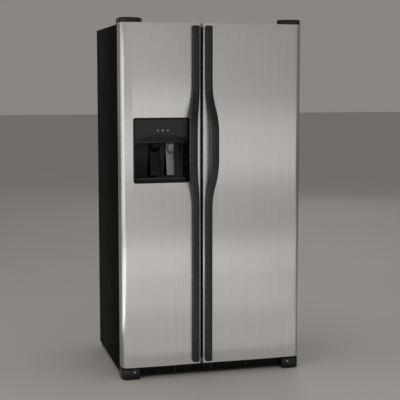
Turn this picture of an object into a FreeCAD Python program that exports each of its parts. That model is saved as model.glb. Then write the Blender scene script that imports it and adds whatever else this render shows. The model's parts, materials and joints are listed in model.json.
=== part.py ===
import FreeCAD, Part
import math
import os
import re
import Sketcher

# Side by side refrigerator: freezer on the left, fresh food on the right.
# Millimetres. +X is to the right seen from the front, the doors face -Y and +Z is up.
# The origin is on the floor, under the middle of the whole appliance.

DIMS = {
    # cabinet
    "overall_width": 914,
    "case_height": 1727,
    "case_floor": 25,
    "case_depth": 612,
    "steel": 1,
    "freezer_wall": 55,
    "fridge_wall": 50,
    "back_wall": 65,
    "top_wall": 60,
    "inner_floor": 120,
    "foam_floor": 90,
    "liner": 3,
    "divider": 50,
    "seam_offset": 55,
    "machine_depth": 230,
    "machine_height": 300,
    "step_wall": 45,
    # doors
    "door_thickness": 70,
    "door_floor": 60,
    "door_rise": 8,
    "gasket_gap": 8,
    "gasket_width": 12,
    "gasket_edge": 4,
    "gasket_top_gap": 15,
    "gasket_slack": 0.5,
    "seam_gap": 10,
    "edge_roll": 30,
    "seam_roll": 6,
    "door_bow": 3,
    "dike_depth": 35,
    "dike_wall": 24,
    "dike_drop": 392,
    "dike_rail": 30,
    "dike_swing_gap": 21,
    "dike_hinge_gap": 37,
    "dike_top_gap": 20,
    # hinges
    "hinge_inset": 25,
    "hinge_setback": 25,
    "pin_radius": 6,
    "pin_depth": 20,
    "running_gap": 0.05,
    "hinge_plate": 4,
    "hinge_lift": 2,
    "hinge_reach": 22,
    # handles
    "handle_width": 35,
    "handle_thick": 21,
    "handle_inset": 10,
    "handle_end_gap": 12,
    "handle_bow": 45,
    "handle_lean": 21,
    "bow_below": 137,
    "bow_above": 167,
    "bow_flat": 120,
    # dispenser: in from the freezer door's outer edge, its handle and the top of its dike
    "bezel_left": 62,
    "bezel_handle_gap": 12,
    "bezel_drop": 364,
    "bezel_height": 316,
    "bezel_round": 12,
    "bezel_proud": 3,
    "bezel_rim": 9,
    "recess_depth": 88,
    "visor_height": 120,
    "visor_bulge": 13,
    "visor_lip": 34,
    "shell_wall": 2.5,
    "ice_paddle_width": 51,
    "water_paddle_width": 39,
    "ice_paddle_place": -19,
    "water_paddle_place": 56,
    "shield_height": 42,
    "pivot_drop": 8,
    "paddle_hang": 155,
    "paddle_setback": 79,
    "paddle_lean": 28,
    "paddle_thick": 5,
    "paddle_pin": 2.5,
    "tray_thick": 8,
    "tray_edge": 26,
    "duct_width": 70,
    "duct_height": 70,
    "duct_front": 41,
    "duct_rear": 66,
    "button_radius": 9,
    "button_pitch": 25,
    "button_proud": 1.6,
    "button_gap": 0.4,
    "button_drop": 61,
    "button_place": 6,
    # toe area and feet
    "toe_floor": 8,
    "toe_height": 44,
    "toe_setback": 35,
    "corner_width": 90,
    "corner_floor": 4,
    "toe_row": 9,
    "toe_slot": 5,
    "toe_tab": 180,
    "toe_tab_half": 10,
    "roller_radius": 20,
    "roller_width": 16,
    "roller_inset": 52,
    "axle_radius": 4,
    "leg_radius": 5,
    "foot_radius": 15,
    # inside
    "shelf_thick": 14,
    "glass_thick": 4,
    "shelf_setback": 100,
    "shelf_side_gap": 2,
    "shelf_rim": 16,
    "shelf_groove": 4,
    "ledge_reach": 10,
    "ledge_height": 12,
    "drawer_wall": 3,
    "drawer_setback": 100,
    "drawer_height": 190,
    "scoop_inset": 60,
    "duct_wall": 3,
    "coil_space": 60,
    "ice_bin_height": 145,
    "ice_bin_inset": 12,
    "ice_maker_lift": 180,
    "ice_maker_height": 90,
    "ice_maker_length": 200,
    "ice_well_pitch": 28,
    "ice_well_length": 22,
    "evaporator_height": 300,
    "evaporator_fan_drop": 95,
    "control_half": 110,
    "control_setback": 190,
    "control_length": 110,
    "control_height": 44,
    "lamp_half": 55,
    "lamp_setback": 100,
    "lamp_length": 60,
    "lamp_height": 14,
    "bin_reach": 75,
    "bin_height": 90,
    "bin_wall": 2.5,
    "dairy_height": 115,
    "knob_radius": 17,
    "knob_spacing": 48,
    "fan_radius": 52,
    "hub_radius": 14,
    "fan_across": 28,
    "fan_arm": 12,
    # machine space, from the middle and from the sides
    "compressor_across": -230,
    "compressor_half": 80,
    "compressor_foot": 66,
    "condenser_left": 110,
    "condenser_right": 340,
    "condenser_half": 45,
    "gland_inset": 77,
    "gland_drop": 100,
    "gland_radius": 11,
    "cord_radius": 4.25,
    "valve_inset": 57,
    "valve_drop": 120,
    "valve_outlet": 5.56,
    "machine_slot_pitch": 225,
    "machine_slot_length": 130,
    "machine_row": 16,
    "machine_slot": 6,
    "machine_screw_inset": 12,
    "machine_screw_across": 120,
    # cover over each top hinge
    "cover_width": 117,
    "cover_length": 100,
    "cover_rise": 24,
    "cover_wall": 2.5,
    "cover_corner": 34,
    "cover_tail": 75,
    "cover_screw_inset": 62,
    "cover_screw_setback": 14,
    "corner_screw_drop": 14,
    "screw_radius": 2,
    "screw_head": 4.5,
}

PLACES = {
    "half_width": "overall_width / 2",
    "seam_line": "-seam_offset",
    "freezer_edge": "seam_line - seam_gap / 2",
    "fridge_edge": "seam_line + seam_gap / 2",
    "freezer_chord": "half_width + freezer_edge - edge_roll - seam_roll",
    "fridge_chord": "half_width - fridge_edge - edge_roll - seam_roll",
    "handle_seat": "door_bow * (1 - 2 * (handle_inset + handle_width - seam_roll) / freezer_chord) ^ 2",
    "total_depth": "case_depth + gasket_gap + door_thickness + handle_thick + handle_bow - handle_seat",
    "case_back": "total_depth / 2",
    "case_front": "case_back - case_depth",
    "door_back": "case_front - gasket_gap",
    "door_front": "door_back - door_thickness",
    "door_top": "case_height + door_rise",
    "bow_edge": "door_front + door_bow",
    "handle_back": "door_front + handle_seat",
    "handle_top": "door_top - handle_end_gap",
    "handle_floor": "door_floor + handle_end_gap",
    "pin_across": "half_width - hinge_inset",
    "pin_line": "door_front + hinge_setback",
    "freezer_left": "-half_width + freezer_wall",
    "freezer_right": "seam_line - divider / 2",
    "fridge_left": "seam_line + divider / 2",
    "fridge_right": "half_width - fridge_wall",
    "inner_back": "case_back - back_wall",
    "inner_top": "case_height - top_wall",
    "machine_front": "case_back - machine_depth",
    "step_face": "machine_front - step_wall",
    "step_top": "machine_height + step_wall",
    "coil_front": "inner_back - coil_space",
    "panel_front": "coil_front - duct_wall",
    "dike_top": "inner_top - dike_top_gap",
    "dike_face": "case_front + dike_depth",
    "freezer_dike_left": "-half_width + hinge_inset + dike_hinge_gap",
    "freezer_dike_right": "freezer_right - dike_swing_gap",
    "fridge_dike_left": "fridge_left + dike_swing_gap",
    "fridge_dike_right": "half_width - hinge_inset - dike_hinge_gap",
    "bezel_x": "-half_width + bezel_left",
    "bezel_end": "freezer_edge - handle_inset - handle_width - bezel_handle_gap",
    "bezel_width": "bezel_end - bezel_x",
    "bezel_mid": "bezel_x + bezel_width / 2",
    "bezel_top": "dike_top - bezel_drop",
    "bezel_floor": "bezel_top - bezel_height",
    "dike_base": "bezel_floor - dike_drop",
    "bezel_front": "door_front - bezel_proud",
    "visor_floor": "bezel_top - visor_height",
    "recess_back": "door_front + recess_depth",
    "tray_top": "bezel_floor + 2 * bezel_rim + 2",
    "paddle_line": "door_front + paddle_setback",
    "bow_out": "sqrt(handle_bow ^ 2 + handle_lean ^ 2)",
    "bow_low": "bezel_floor - bow_below",
    "bow_high": "bezel_top + bow_above",
    "bow_rise": "(bow_high - bow_low - bow_flat) / 4",
    "bow_radius": "(bow_rise ^ 2 + (bow_out / 2) ^ 2) / bow_out",
    "bin_front": "case_front + bin_reach",
    "pivot_height": "visor_floor - pivot_drop",
    "button_line": "bezel_top - button_drop",
    "duct_mid": "bezel_mid + ice_paddle_place",
    "water_mid": "bezel_mid + water_paddle_place",
    "recess_floor": "tray_top - tray_thick",
    "duct_mouth": "bezel_top + 25",
    "ice_bin_floor": "duct_mouth + 2",
    "ice_bin_top": "ice_bin_floor + ice_bin_height",
    "boss_top": "ice_bin_top + 3",
    "ice_maker_floor": "ice_bin_floor + ice_maker_lift",
    "evaporator_fan_height": "ice_bin_floor - evaporator_fan_drop",
    "freezer_pitch": "(ice_bin_floor - step_top) / 4",
    "deli_shelf": "step_top + 30 + drawer_height",
    "fridge_pitch": "(inner_top - deli_shelf) / 4",
    "dairy_top": "dike_top - dike_rail - 20",
    "dairy_floor": "dairy_top - dairy_height",
    "freezer_mid": "(freezer_left + freezer_right) / 2",
    "fridge_mid": "(fridge_left + fridge_right) / 2",
    "knob_height": "inner_top - control_height / 2",
    "tray_pitch": "(bezel_width - 2 * tray_edge - 2 * bezel_rim) / 13",
    "screw_across": "half_width - cover_screw_inset",
    "cover_screw_line": "case_front + cover_screw_setback",
    "corner_screw_height": "toe_top - corner_screw_drop",
    "machine_screw_height": "machine_height - 12",
    "gland_across": "-half_width + gland_inset",
    "gland_height": "machine_height - gland_drop",
    "valve_across": "half_width - valve_inset",
    "valve_height": "machine_height - valve_drop",
    "toe_top": "toe_floor + toe_height",
    "toe_front": "door_front + toe_setback",
    "hinge_top": "door_top + hinge_lift",
    "cover_top": "door_top + cover_rise",
    "cover_front": "door_front + 4",
    "cover_back": "cover_front + cover_length",
    "drawer_front": "case_front + drawer_setback",
    "shelf_front": "case_front + shelf_setback",
    "lower_drawer_floor": "inner_floor + 10",
    "upper_drawer_floor": "step_top + 12",
    "roller_front": "case_front + 50",
    "roller_rear": "case_back - 60",
    "roller_side": "half_width - roller_inset",
    "leg_across": "half_width - 100",
    "leg_line": "case_front + 18",
    "pan_top": "2 * roller_radius + 4",
    "fan_line": "case_back - 110",
    "fan_height": "machine_height / 2 - 10",
}

doc = FreeCAD.newDocument("side_by_side_refrigerator")
dims = doc.addObject("Spreadsheet::Sheet", "dims")
place = doc.addObject("Spreadsheet::Sheet", "place")
owner = {}


def fill(sheet, values):
    """Write one alias per row: plain numbers in dims, formulas in place."""
    for row, (name, value) in enumerate(values.items(), 1):
        owner[name] = sheet.Name
        text = str(value) if sheet is dims else "=" + bind(value)
        sheet.set("A%d" % row, text)
        sheet.setAlias("A%d" % row, name)


def bind(text):
    """Put its sheet's name before every size named in an expression."""
    return re.sub(r"[a-z_]+", lambda word: owner.get(word.group(), "") + "." + word.group()
                  if word.group() in owner else word.group(), text)


def number(text):
    """Value of an expression now, in millimetres or degrees."""
    return float(place.evalExpression(bind(text)))


def tie(item, prop, text):
    item.setExpression(prop, bind(text))


def add(kind, label):
    item = doc.addObject(kind, label)
    item.Label = label
    return item


def slab(label, x, y, z):
    """Box between pairs of low and high expressions."""
    box = add("Part::Box", label)
    for size, axis, (low, high) in zip(("Length", "Width", "Height"), "xyz", (x, y, z)):
        tie(box, size, "(%s) - (%s)" % (high, low))
        tie(box, "Placement.Base." + axis, low)
    return box


AXIS_TURN = {
    "x": FreeCAD.Rotation(FreeCAD.Vector(0, 1, 0), 90),
    "y": FreeCAD.Rotation(FreeCAD.Vector(1, 0, 0), -90),
    "z": FreeCAD.Rotation(),
}


def seat(item, axis, point):
    """Lay an object's own Z along an axis and tie its origin to a point."""
    item.Placement = FreeCAD.Placement(FreeCAD.Vector(), AXIS_TURN[axis])
    for letter, text in zip("xyz", point):
        tie(item, "Placement.Base." + letter, text)


def rod(label, axis, point, length, radius):
    """Cylinder that starts at a point and runs along +axis."""
    cylinder = add("Part::Cylinder", label)
    tie(cylinder, "Radius", radius)
    tie(cylinder, "Height", length)
    seat(cylinder, axis, point)
    return cylinder


def cut(label, base, *tools):
    result = add("Part::Cut", label)
    result.Base = base
    result.Tool = tools[0] if len(tools) == 1 else join(label + "_tools", *tools)
    return result


def join(label, *pieces):
    result = add("Part::MultiFuse", label)
    result.Shapes = list(pieces)
    result.Refine = True
    return result


def overlap(label, *pieces):
    """The space that every piece shares."""
    result = add("Part::MultiCommon", label)
    result.Shapes = list(pieces)
    return result


def group(label, *pieces):
    """Separate solids that share one node."""
    result = add("Part::Compound", label)
    result.Links = list(pieces)
    return result


def sketch_on(body, role, offset, points, closed=True):
    """Outline on an origin plane, every corner tied to expressions.

    A point is (across, up) or (across, up, radius, turn), where the edge that
    leaves it is an arc of that radius, turning left (+1) or right (-1).
    """
    sketch = body.newObject("Sketcher::SketchObject", body.Label + "_sketch")
    plane = next(item for item in body.Origin.OriginFeatures if item.Role == role)
    sketch.AttachmentSupport = [(plane, "")]
    sketch.MapMode = "FlatFace"
    tie(sketch, "AttachmentOffset.Base.z", offset)
    corners = [FreeCAD.Vector(number(point[0]), number(point[1])) for point in points]
    count = len(points) if closed else len(points) - 1
    starts = []
    for index in range(count):
        first = corners[index]
        last = corners[(index + 1) % len(points)]
        if len(points[index]) == 2:
            sketch.addGeometry(Part.LineSegment(first, last))
            starts.append((1, 2))
            continue
        radius = number(points[index][2])
        turn = points[index][3]
        chord = last - first
        reach = math.sqrt(max(radius ** 2 - chord.Length ** 2 / 4, 0))
        normal = FreeCAD.Vector(-chord.y, chord.x).normalize()
        centre = (first + last) / 2 + normal * reach * turn
        angles = [math.atan2(end.y - centre.y, end.x - centre.x) for end in (first, last)]
        circle = Part.Circle(centre, FreeCAD.Vector(0, 0, 1), radius)
        sketch.addGeometry(Part.ArcOfCircle(circle, *angles[::turn]))
        starts.append((1, 2) if turn == 1 else (2, 1))
        limit = sketch.addConstraint(Sketcher.Constraint("Radius", index, radius))
        tie(sketch, "Constraints[%d]" % limit, points[index][2])
    for index, point in enumerate(points):
        edge, end = (index, starts[index][0]) if index < count else (index - 1, starts[index - 1][1])
        for kind, text in (("DistanceX", point[0]), ("DistanceY", point[1])):
            limit = sketch.addConstraint(Sketcher.Constraint(kind, -1, 1, edge, end, number(text)))
            tie(sketch, "Constraints[%d]" % limit, text)
        if index < count and (closed or index + 1 < count):
            follow = (index + 1) % count
            sketch.addConstraint(
                Sketcher.Constraint("Coincident", index, starts[index][1], follow, starts[follow][0]))
    return sketch


PLANE_ROLE = {"x": "YZ_Plane", "y": "XZ_Plane", "z": "XY_Plane"}


def prism(label, axis, start, length, points):
    """Body padded from an outline that lies square to an axis.

    It grows along +x or +z, or along -y, from the start expression.
    """
    body = add("PartDesign::Body", label)
    offset = "-(%s)" % start if axis == "y" else start
    pad = body.newObject("PartDesign::Pad", label + "_pad")
    pad.Profile = sketch_on(body, PLANE_ROLE[axis], offset, points)
    tie(pad, "Length", length)
    return body


def soften(body, radius, wanted):
    """Fillet the edges of a body that a test picks."""
    doc.recompute()
    base = body.Tip
    names = ["Edge%d" % (i + 1) for i, edge in enumerate(base.Shape.Edges) if wanted(edge)]
    fillet = body.newObject("PartDesign::Fillet", body.Label + "_fillet")
    fillet.Base = (base, names)
    tie(fillet, "Radius", radius)
    body.Tip = fillet
    return fillet


def turned(label, axis, point, points):
    """Body of revolution: points are (radius, height) about its own Z."""
    body = add("PartDesign::Body", label)
    spin = body.newObject("PartDesign::Revolution", label + "_turn")
    profile = sketch_on(body, "XZ_Plane", "0", points)
    spin.Profile = profile
    spin.ReferenceAxis = (profile, ["V_Axis"])
    spin.Angle = 360
    seat(body, axis, point)
    return body


def rounded(across, up, radius):
    """Rectangle with quarter-round corners, counter-clockwise."""
    (left, right), (low, high) = across, up
    return [
        ("%s + %s" % (left, radius), low),
        ("%s - %s" % (right, radius), low, radius, 1),
        (right, "%s + %s" % (low, radius)),
        (right, "%s - %s" % (high, radius), radius, 1),
        ("%s - %s" % (right, radius), high),
        ("%s + %s" % (left, radius), high, radius, 1),
        (left, "%s - %s" % (high, radius)),
        (left, "%s + %s" % (low, radius), radius, 1),
    ]


fill(dims, DIMS)
fill(place, PLACES)
doc.recompute()
SIDES = {"left": -1, "right": 1}
parts = []


def keep(item):
    """Mark an object as a piece of the refrigerator."""
    parts.append(item)
    return item


# ---------------------------------------------------------------- cabinet

COMPARTMENTS = {
    "freezer": ("freezer_left", "freezer_right"),
    "fridge": ("fridge_left", "fridge_right"),
}


def liner_block(label, span, grow):
    """Stepped block of a compartment, grown outwards by the liner's wall or not."""
    back = "inner_back + " + grow
    low = "inner_floor - " + grow
    step = "step_top - " + grow
    outline = [
        ("case_front", low),
        ("step_face + " + grow, low),
        ("step_face + " + grow, step),
        (back, step),
        (back, "inner_top + " + grow),
        ("case_front", "inner_top + " + grow),
    ]
    left, right = span
    return prism(label, "x", "%s - %s" % (left, grow), "%s - %s + 2 * %s" % (right, left, grow), outline)


def rails(name, span, rows):
    """Rails on both side walls, one pair under each shelf and drawer."""
    left, right = span
    pieces = []
    for low, high, back in rows:
        y = ("shelf_front", back)
        z = (low, high)
        label = "%s_rail_%d" % (name, len(pieces) / 2)
        pieces.append(slab(label + "_left", (left, left + " + ledge_reach"), y, z))
        pieces.append(slab(label + "_right", (right + " - ledge_reach", right), y, z))
    return pieces


SHELVES = {
    "freezer": ["step_top + %d * freezer_pitch" % row for row in (1, 2, 3)],
    "fridge": ["deli_shelf + %d * fridge_pitch" % row for row in (0, 1, 2, 3)],
}
UPPER_END = "panel_front - 6"
FLOOR_ROW = ("inner_floor", "inner_floor + 8", "step_face - 8")
STEP_ROW = ("step_top", "step_top + 8", UPPER_END)


def shelf_rows(heights):
    return [(height + " - ledge_height", height, UPPER_END) for height in heights]


RAILS = {
    "freezer": [FLOOR_ROW] + shelf_rows(SHELVES["freezer"] + ["ice_bin_floor"]),
    "fridge": [FLOOR_ROW, STEP_ROW] + shelf_rows(SHELVES["fridge"]),
}


def build_cabinet():
    blocks = {}
    for name, span in COMPARTMENTS.items():
        blocks[name] = liner_block(name + "_block", span, "liner")
        hollow = liner_block(name + "_hollow", span, "0")
        keep(cut(name + "_liner", blocks[name], hollow))
    keep(group("shelf_rails", *[rail for name, span in COMPARTMENTS.items()
                                for rail in rails(name, span, RAILS[name])]))

    inside = ("-half_width + steel", "half_width - steel")
    outer = slab("case_outer", ("-half_width", "half_width"), ("case_front", "case_back"),
                 ("case_floor", "case_height"))
    hollow = slab("case_hollow", inside, ("case_front + steel", "case_back + 1"),
                  ("case_floor - 1", "case_height - steel"))
    mouths = [slab(name + "_mouth", (left + " - liner", right + " + liner"),
                   ("case_front - 1", "case_front + steel + 1"),
                   ("inner_floor - liner", "inner_top + liner"))
              for name, (left, right) in COMPARTMENTS.items()]
    toe_mouth = slab("toe_mouth", ("-half_width + 40", "half_width - 40"),
                     ("case_front - 1", "case_front + steel + 1"), ("case_floor - 1", "foam_floor - 5"))
    keep(cut("cabinet_shell", outer, hollow, *mouths, toe_mouth))

    keep(slab("rear_panel", inside, ("case_back - steel", "case_back"),
              ("machine_height", "case_height - steel")))

    fill_block = slab("foam_outer", inside, ("case_front + steel", "case_back - steel"),
                      ("foam_floor", "case_height - steel"))
    machine = slab("machine_space", ("-half_width", "half_width"), ("machine_front", "case_back"),
                   ("foam_floor - 1", "machine_height"))
    keep(cut("foam_insulation", fill_block, machine, *blocks.values()))


# ---------------------------------------------------------------- doors

DOORS = {
    "freezer": {"hand": -1, "edge": "freezer_edge", "chord": "freezer_chord",
                "dikes": ("freezer_dike_left", "freezer_dike_right"),
                "bays": (("dike_base + dike_rail", "bezel_floor - 40"),
                         ("boss_top + 20", "dike_top - dike_rail")),
                "bins": ("dike_base + 45", "dike_base + 200", "boss_top + 32")},
    "fridge": {"hand": 1, "edge": "fridge_edge", "chord": "fridge_chord",
               "dikes": ("fridge_dike_left", "fridge_dike_right"),
               "bays": (("dike_base + dike_rail", "dike_top - dike_rail"),),
               "bins": ("dike_base + 45", "dike_base + 250", "dike_base + 455", "dike_base + 660")},
}


def spread(hand, outer, seam):
    """Order a door's hinge side and seam side from left to right."""
    return (outer, seam) if hand < 0 else (seam, outer)


def door_block(label, door, inset, back):
    """Door with a rolled outer edge, a bowed front and a small roll at the seam."""
    hand, edge = door["hand"], door["edge"]
    side = "%d * (half_width - (%s))" % (hand, inset)
    seam = "%s + %d * (%s)" % (edge, hand, inset)
    bow = "(%s ^ 2 / 4 + door_bow ^ 2) / (2 * door_bow)" % door["chord"]
    front = "bow_edge + " + inset
    outline = [
        (side, back),
        (side, "bow_edge + edge_roll", "edge_roll - " + inset, -hand),
        ("%d * (half_width - edge_roll)" % hand, front, bow, -hand),
        ("%s + %d * seam_roll" % (edge, hand), front, "seam_roll - " + inset, -hand),
        (seam, "bow_edge + seam_roll"),
        (seam, back),
    ]
    low = "door_floor + " + inset
    return prism(label, "z", low, "(door_top - %s) - (%s)" % (inset, low), outline)


def dikes(label, door, grow):
    """Raised border and bosses on a door's inner face, with bays for the bins."""
    left, right = door["dikes"]
    body = slab(label + "_body", ("%s - (%s)" % (left, grow), "%s + %s" % (right, grow)),
                ("door_back - liner - 1", "dike_face + " + grow),
                ("dike_base - (%s)" % grow, "dike_top + " + grow))
    bays = [slab("%s_bay_%d" % (label, index),
                 ("%s + dike_wall + %s" % (left, grow), "%s - dike_wall - (%s)" % (right, grow)),
                 ("door_back - liner - 2", "dike_face + 5"),
                 ("%s + %s" % (low, grow), "%s - (%s)" % (high, grow)))
            for index, (low, high) in enumerate(door["bays"])]
    return cut(label, body, *bays)


def pin_holes(name, door):
    across = "%d * pin_across" % door["hand"]
    spans = {"top": "door_top - pin_depth", "bottom": "door_floor - 1"}
    return [rod("%s_pin_hole_%s" % (name, end), "z", (across, "pin_line", low),
                "pin_depth + 1", "pin_radius + running_gap") for end, low in spans.items()]


def bin_box(label, across, floor, height):
    """Open door bin with a lower front wall."""
    left, right = across
    top = "%s + %s" % (floor, height)
    body = slab(label + "_body", across, ("door_back", "bin_front"), (floor, top))
    space = slab(label + "_space", (left + " + bin_wall", right + " - bin_wall"),
                 ("door_back + bin_wall", "bin_front - bin_wall"), (floor + " + bin_wall", top + " + 1"))
    dip = slab(label + "_dip", (left + " + 30", right + " - 30"), ("bin_front - 2 * bin_wall", "bin_front + 1"),
               (top + " - 20", top + " + 1"))
    return cut(label, body, space, dip)


def handle(name, door):
    """Full length bar that bows out from the door and away from the seam."""
    hand = door["hand"]
    middle = "%s + %d * (handle_inset + handle_width / 2)" % (door["edge"], hand)
    body = add("PartDesign::Body", name + "_handle")
    section = sketch_on(body, "XY_Plane", "handle_floor", rounded(
        ("%s - handle_width / 2" % middle, "%s + handle_width / 2" % middle),
        ("handle_back - handle_thick", "handle_back"), "6"))
    path = sketch_on(body, "XZ_Plane", "-(handle_back - handle_thick / 2)", [
        ("0", "handle_floor"),
        ("0", "bow_low", "bow_radius", -1),
        ("bow_out / 2", "bow_low + bow_rise", "bow_radius", 1),
        ("bow_out", "bow_low + 2 * bow_rise"),
        ("bow_out", "bow_high - 2 * bow_rise", "bow_radius", 1),
        ("bow_out / 2", "bow_high - bow_rise", "bow_radius", -1),
        ("0", "bow_high"),
        ("0", "handle_top"),
    ], closed=False)
    tie(path, "AttachmentOffset.Base.x", middle)
    path.AttachmentOffset = FreeCAD.Placement(path.AttachmentOffset.Base,
                                              FreeCAD.Rotation(FreeCAD.Vector(0, 1, 0), -90))
    tie(path, "AttachmentOffset.Rotation.Angle", "-90 deg + %d * atan(handle_lean / handle_bow)" % hand)
    sweep = body.newObject("PartDesign::AdditivePipe", name + "_handle_bar")
    sweep.Profile = section
    sweep.Spine = (path, ["Edge%d" % (i + 1) for i in range(7)])
    return keep(body)


def build_door(name, door, openings=()):
    """Skin, foam, inner liner, gasket, bins and handle of one door."""
    hand, edge = door["hand"], door["edge"]
    holes = pin_holes(name, door)
    outer = door_block(name + "_door_outer", door, "0", "door_back")
    hollow = door_block(name + "_door_hollow", door, "steel", "door_back + 1")
    keep(cut(name + "_door_skin", outer, hollow, *holes, *openings))

    core = door_block(name + "_door_core", door, "steel", "door_back - liner")
    face = dikes(name + "_dikes", door, "0")
    filling = dikes(name + "_dike_filling", door, "-liner")
    bulk = join(name + "_door_bulk", core, filling)
    keep(cut(name + "_door_foam", bulk, *holes, *openings))

    side = "%d * (half_width - steel)" % hand
    seam = "%s + %d * steel" % (edge, hand)
    sheet = slab(name + "_door_sheet", spread(hand, side, seam), ("door_back - liner", "door_back"),
                 ("door_floor + steel", "door_top - steel"))
    keep(cut(name + "_door_liner", join(name + "_inner_faces", sheet, face), bulk, *openings))

    far, near = "%d * (pin_across - 2)" % hand, "%s + %d * gasket_edge" % (edge, hand)
    grip = "%d * gasket_width" % hand
    ring = slab(name + "_gasket_outer", spread(hand, far, near), ("door_back", "case_front - gasket_slack"),
                ("foam_floor", "case_height - gasket_top_gap"))
    window = slab(name + "_gasket_window", spread(hand, far + " - " + grip, near + " + " + grip),
                  ("door_back - 1", "case_front"),
                  ("foam_floor + gasket_width", "case_height - gasket_top_gap - gasket_width"))
    keep(cut(name + "_door_gasket", ring, window))

    left, right = door["dikes"]
    bay = (left + " + dike_wall + 1", right + " - dike_wall - 1")
    bins = [bin_box("%s_bin_%d" % (name, index), bay, floor, "bin_height")
            for index, floor in enumerate(door["bins"])]
    if name == "fridge":
        bins.append(dairy_box(bay))
    keep(group(name + "_door_bins", *bins))
    handle(name, door)


def dairy_box(bay):
    """Closed shelf for butter at the top of the fridge door, open to the front of the cabinet."""
    left, right = bay
    inside = (left + " + bin_wall", right + " - bin_wall")
    body = slab("dairy_body", bay, ("door_back", "bin_front + 8"), ("dairy_floor", "dairy_top"))
    space = slab("dairy_space", inside, ("door_back + bin_wall", "bin_front + 9"),
                 ("dairy_floor + bin_wall", "dairy_top - bin_wall"))
    roof_cut = slab("dairy_roof_cut", inside, ("bin_front - 5", "bin_front + 9"),
                    ("dairy_top - bin_wall - 1", "dairy_top + 1"))
    floor_cut = slab("dairy_floor_cut", inside, ("bin_front", "bin_front + 9"),
                     ("dairy_floor - 1", "dairy_floor + bin_wall + 1"))
    pins = rod("dairy_pin_holes", "x", (left + " - 1", "bin_front + 3", "dairy_top - 7"),
               "%s - (%s) + 2" % (right, left), "paddle_pin + running_gap")
    return cut("dairy_box", body, space, roof_cut, floor_cut, pins)


def build_dairy_door():
    left, right = DOORS["fridge"]["dikes"]
    left += " + dike_wall + 1"
    right += " - dike_wall - 1"
    panel = slab("dairy_panel", (left + " + bin_wall + 1", right + " - bin_wall - 1"),
                 ("bin_front + 1.5", "bin_front + 4.5"), ("dairy_floor + 4", "dairy_top - 4"))
    lip = slab("dairy_lip", (left + " + 90", right + " - 90"), ("bin_front + 4.5", "bin_front + 12"),
               ("dairy_floor + 6", "dairy_floor + 10"))
    pin = rod("dairy_pin", "x", (left + " + 0.5", "bin_front + 3", "dairy_top - 7"),
              "%s - (%s) - 1" % (right, left), "paddle_pin")
    keep(join("dairy_door", panel, lip, pin))


# ---------------------------------------------------------------- dispenser

RIM = ("bezel_x + bezel_rim", "bezel_end - bezel_rim")
BUTTONS = {name: "bezel_mid + button_place + %d * button_pitch" % step
           for step, name in enumerate(("water_button", "ice_button", "lock_button"), -1)}
PADDLES = (("ice_paddle", "duct_mid", "ice_paddle_width"),
           ("water_paddle", "water_mid", "water_paddle_width"))


def duct(label, grow, reach):
    """Slanted ice duct, from the ice bin's outlet down to the top of the recess."""
    outline = [
        ("door_front + duct_front - " + grow, "visor_floor + 1 - " + reach),
        ("door_front + duct_rear + " + grow, "visor_floor + 1 - " + reach),
        ("door_front + duct_rear + " + grow, "visor_floor + 60 - " + grow),
        ("dike_face + " + reach, "duct_mouth + duct_wall - " + grow),
        ("dike_face + " + reach, "duct_mouth + duct_height - duct_wall + " + grow),
        ("door_front + duct_front - " + grow, "visor_floor + 90 + " + grow),
    ]
    return prism(label, "x", "duct_mid - duct_width / 2 + duct_wall - " + grow,
                 "duct_width - 2 * duct_wall + 2 * " + grow, outline)


def ear(label, across):
    """Lug under the recess ceiling that holds one end of a paddle's pin."""
    return slab(label, across, ("paddle_line - 5", "paddle_line + 5"), ("pivot_height - 5", "visor_floor + 1"))


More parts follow.
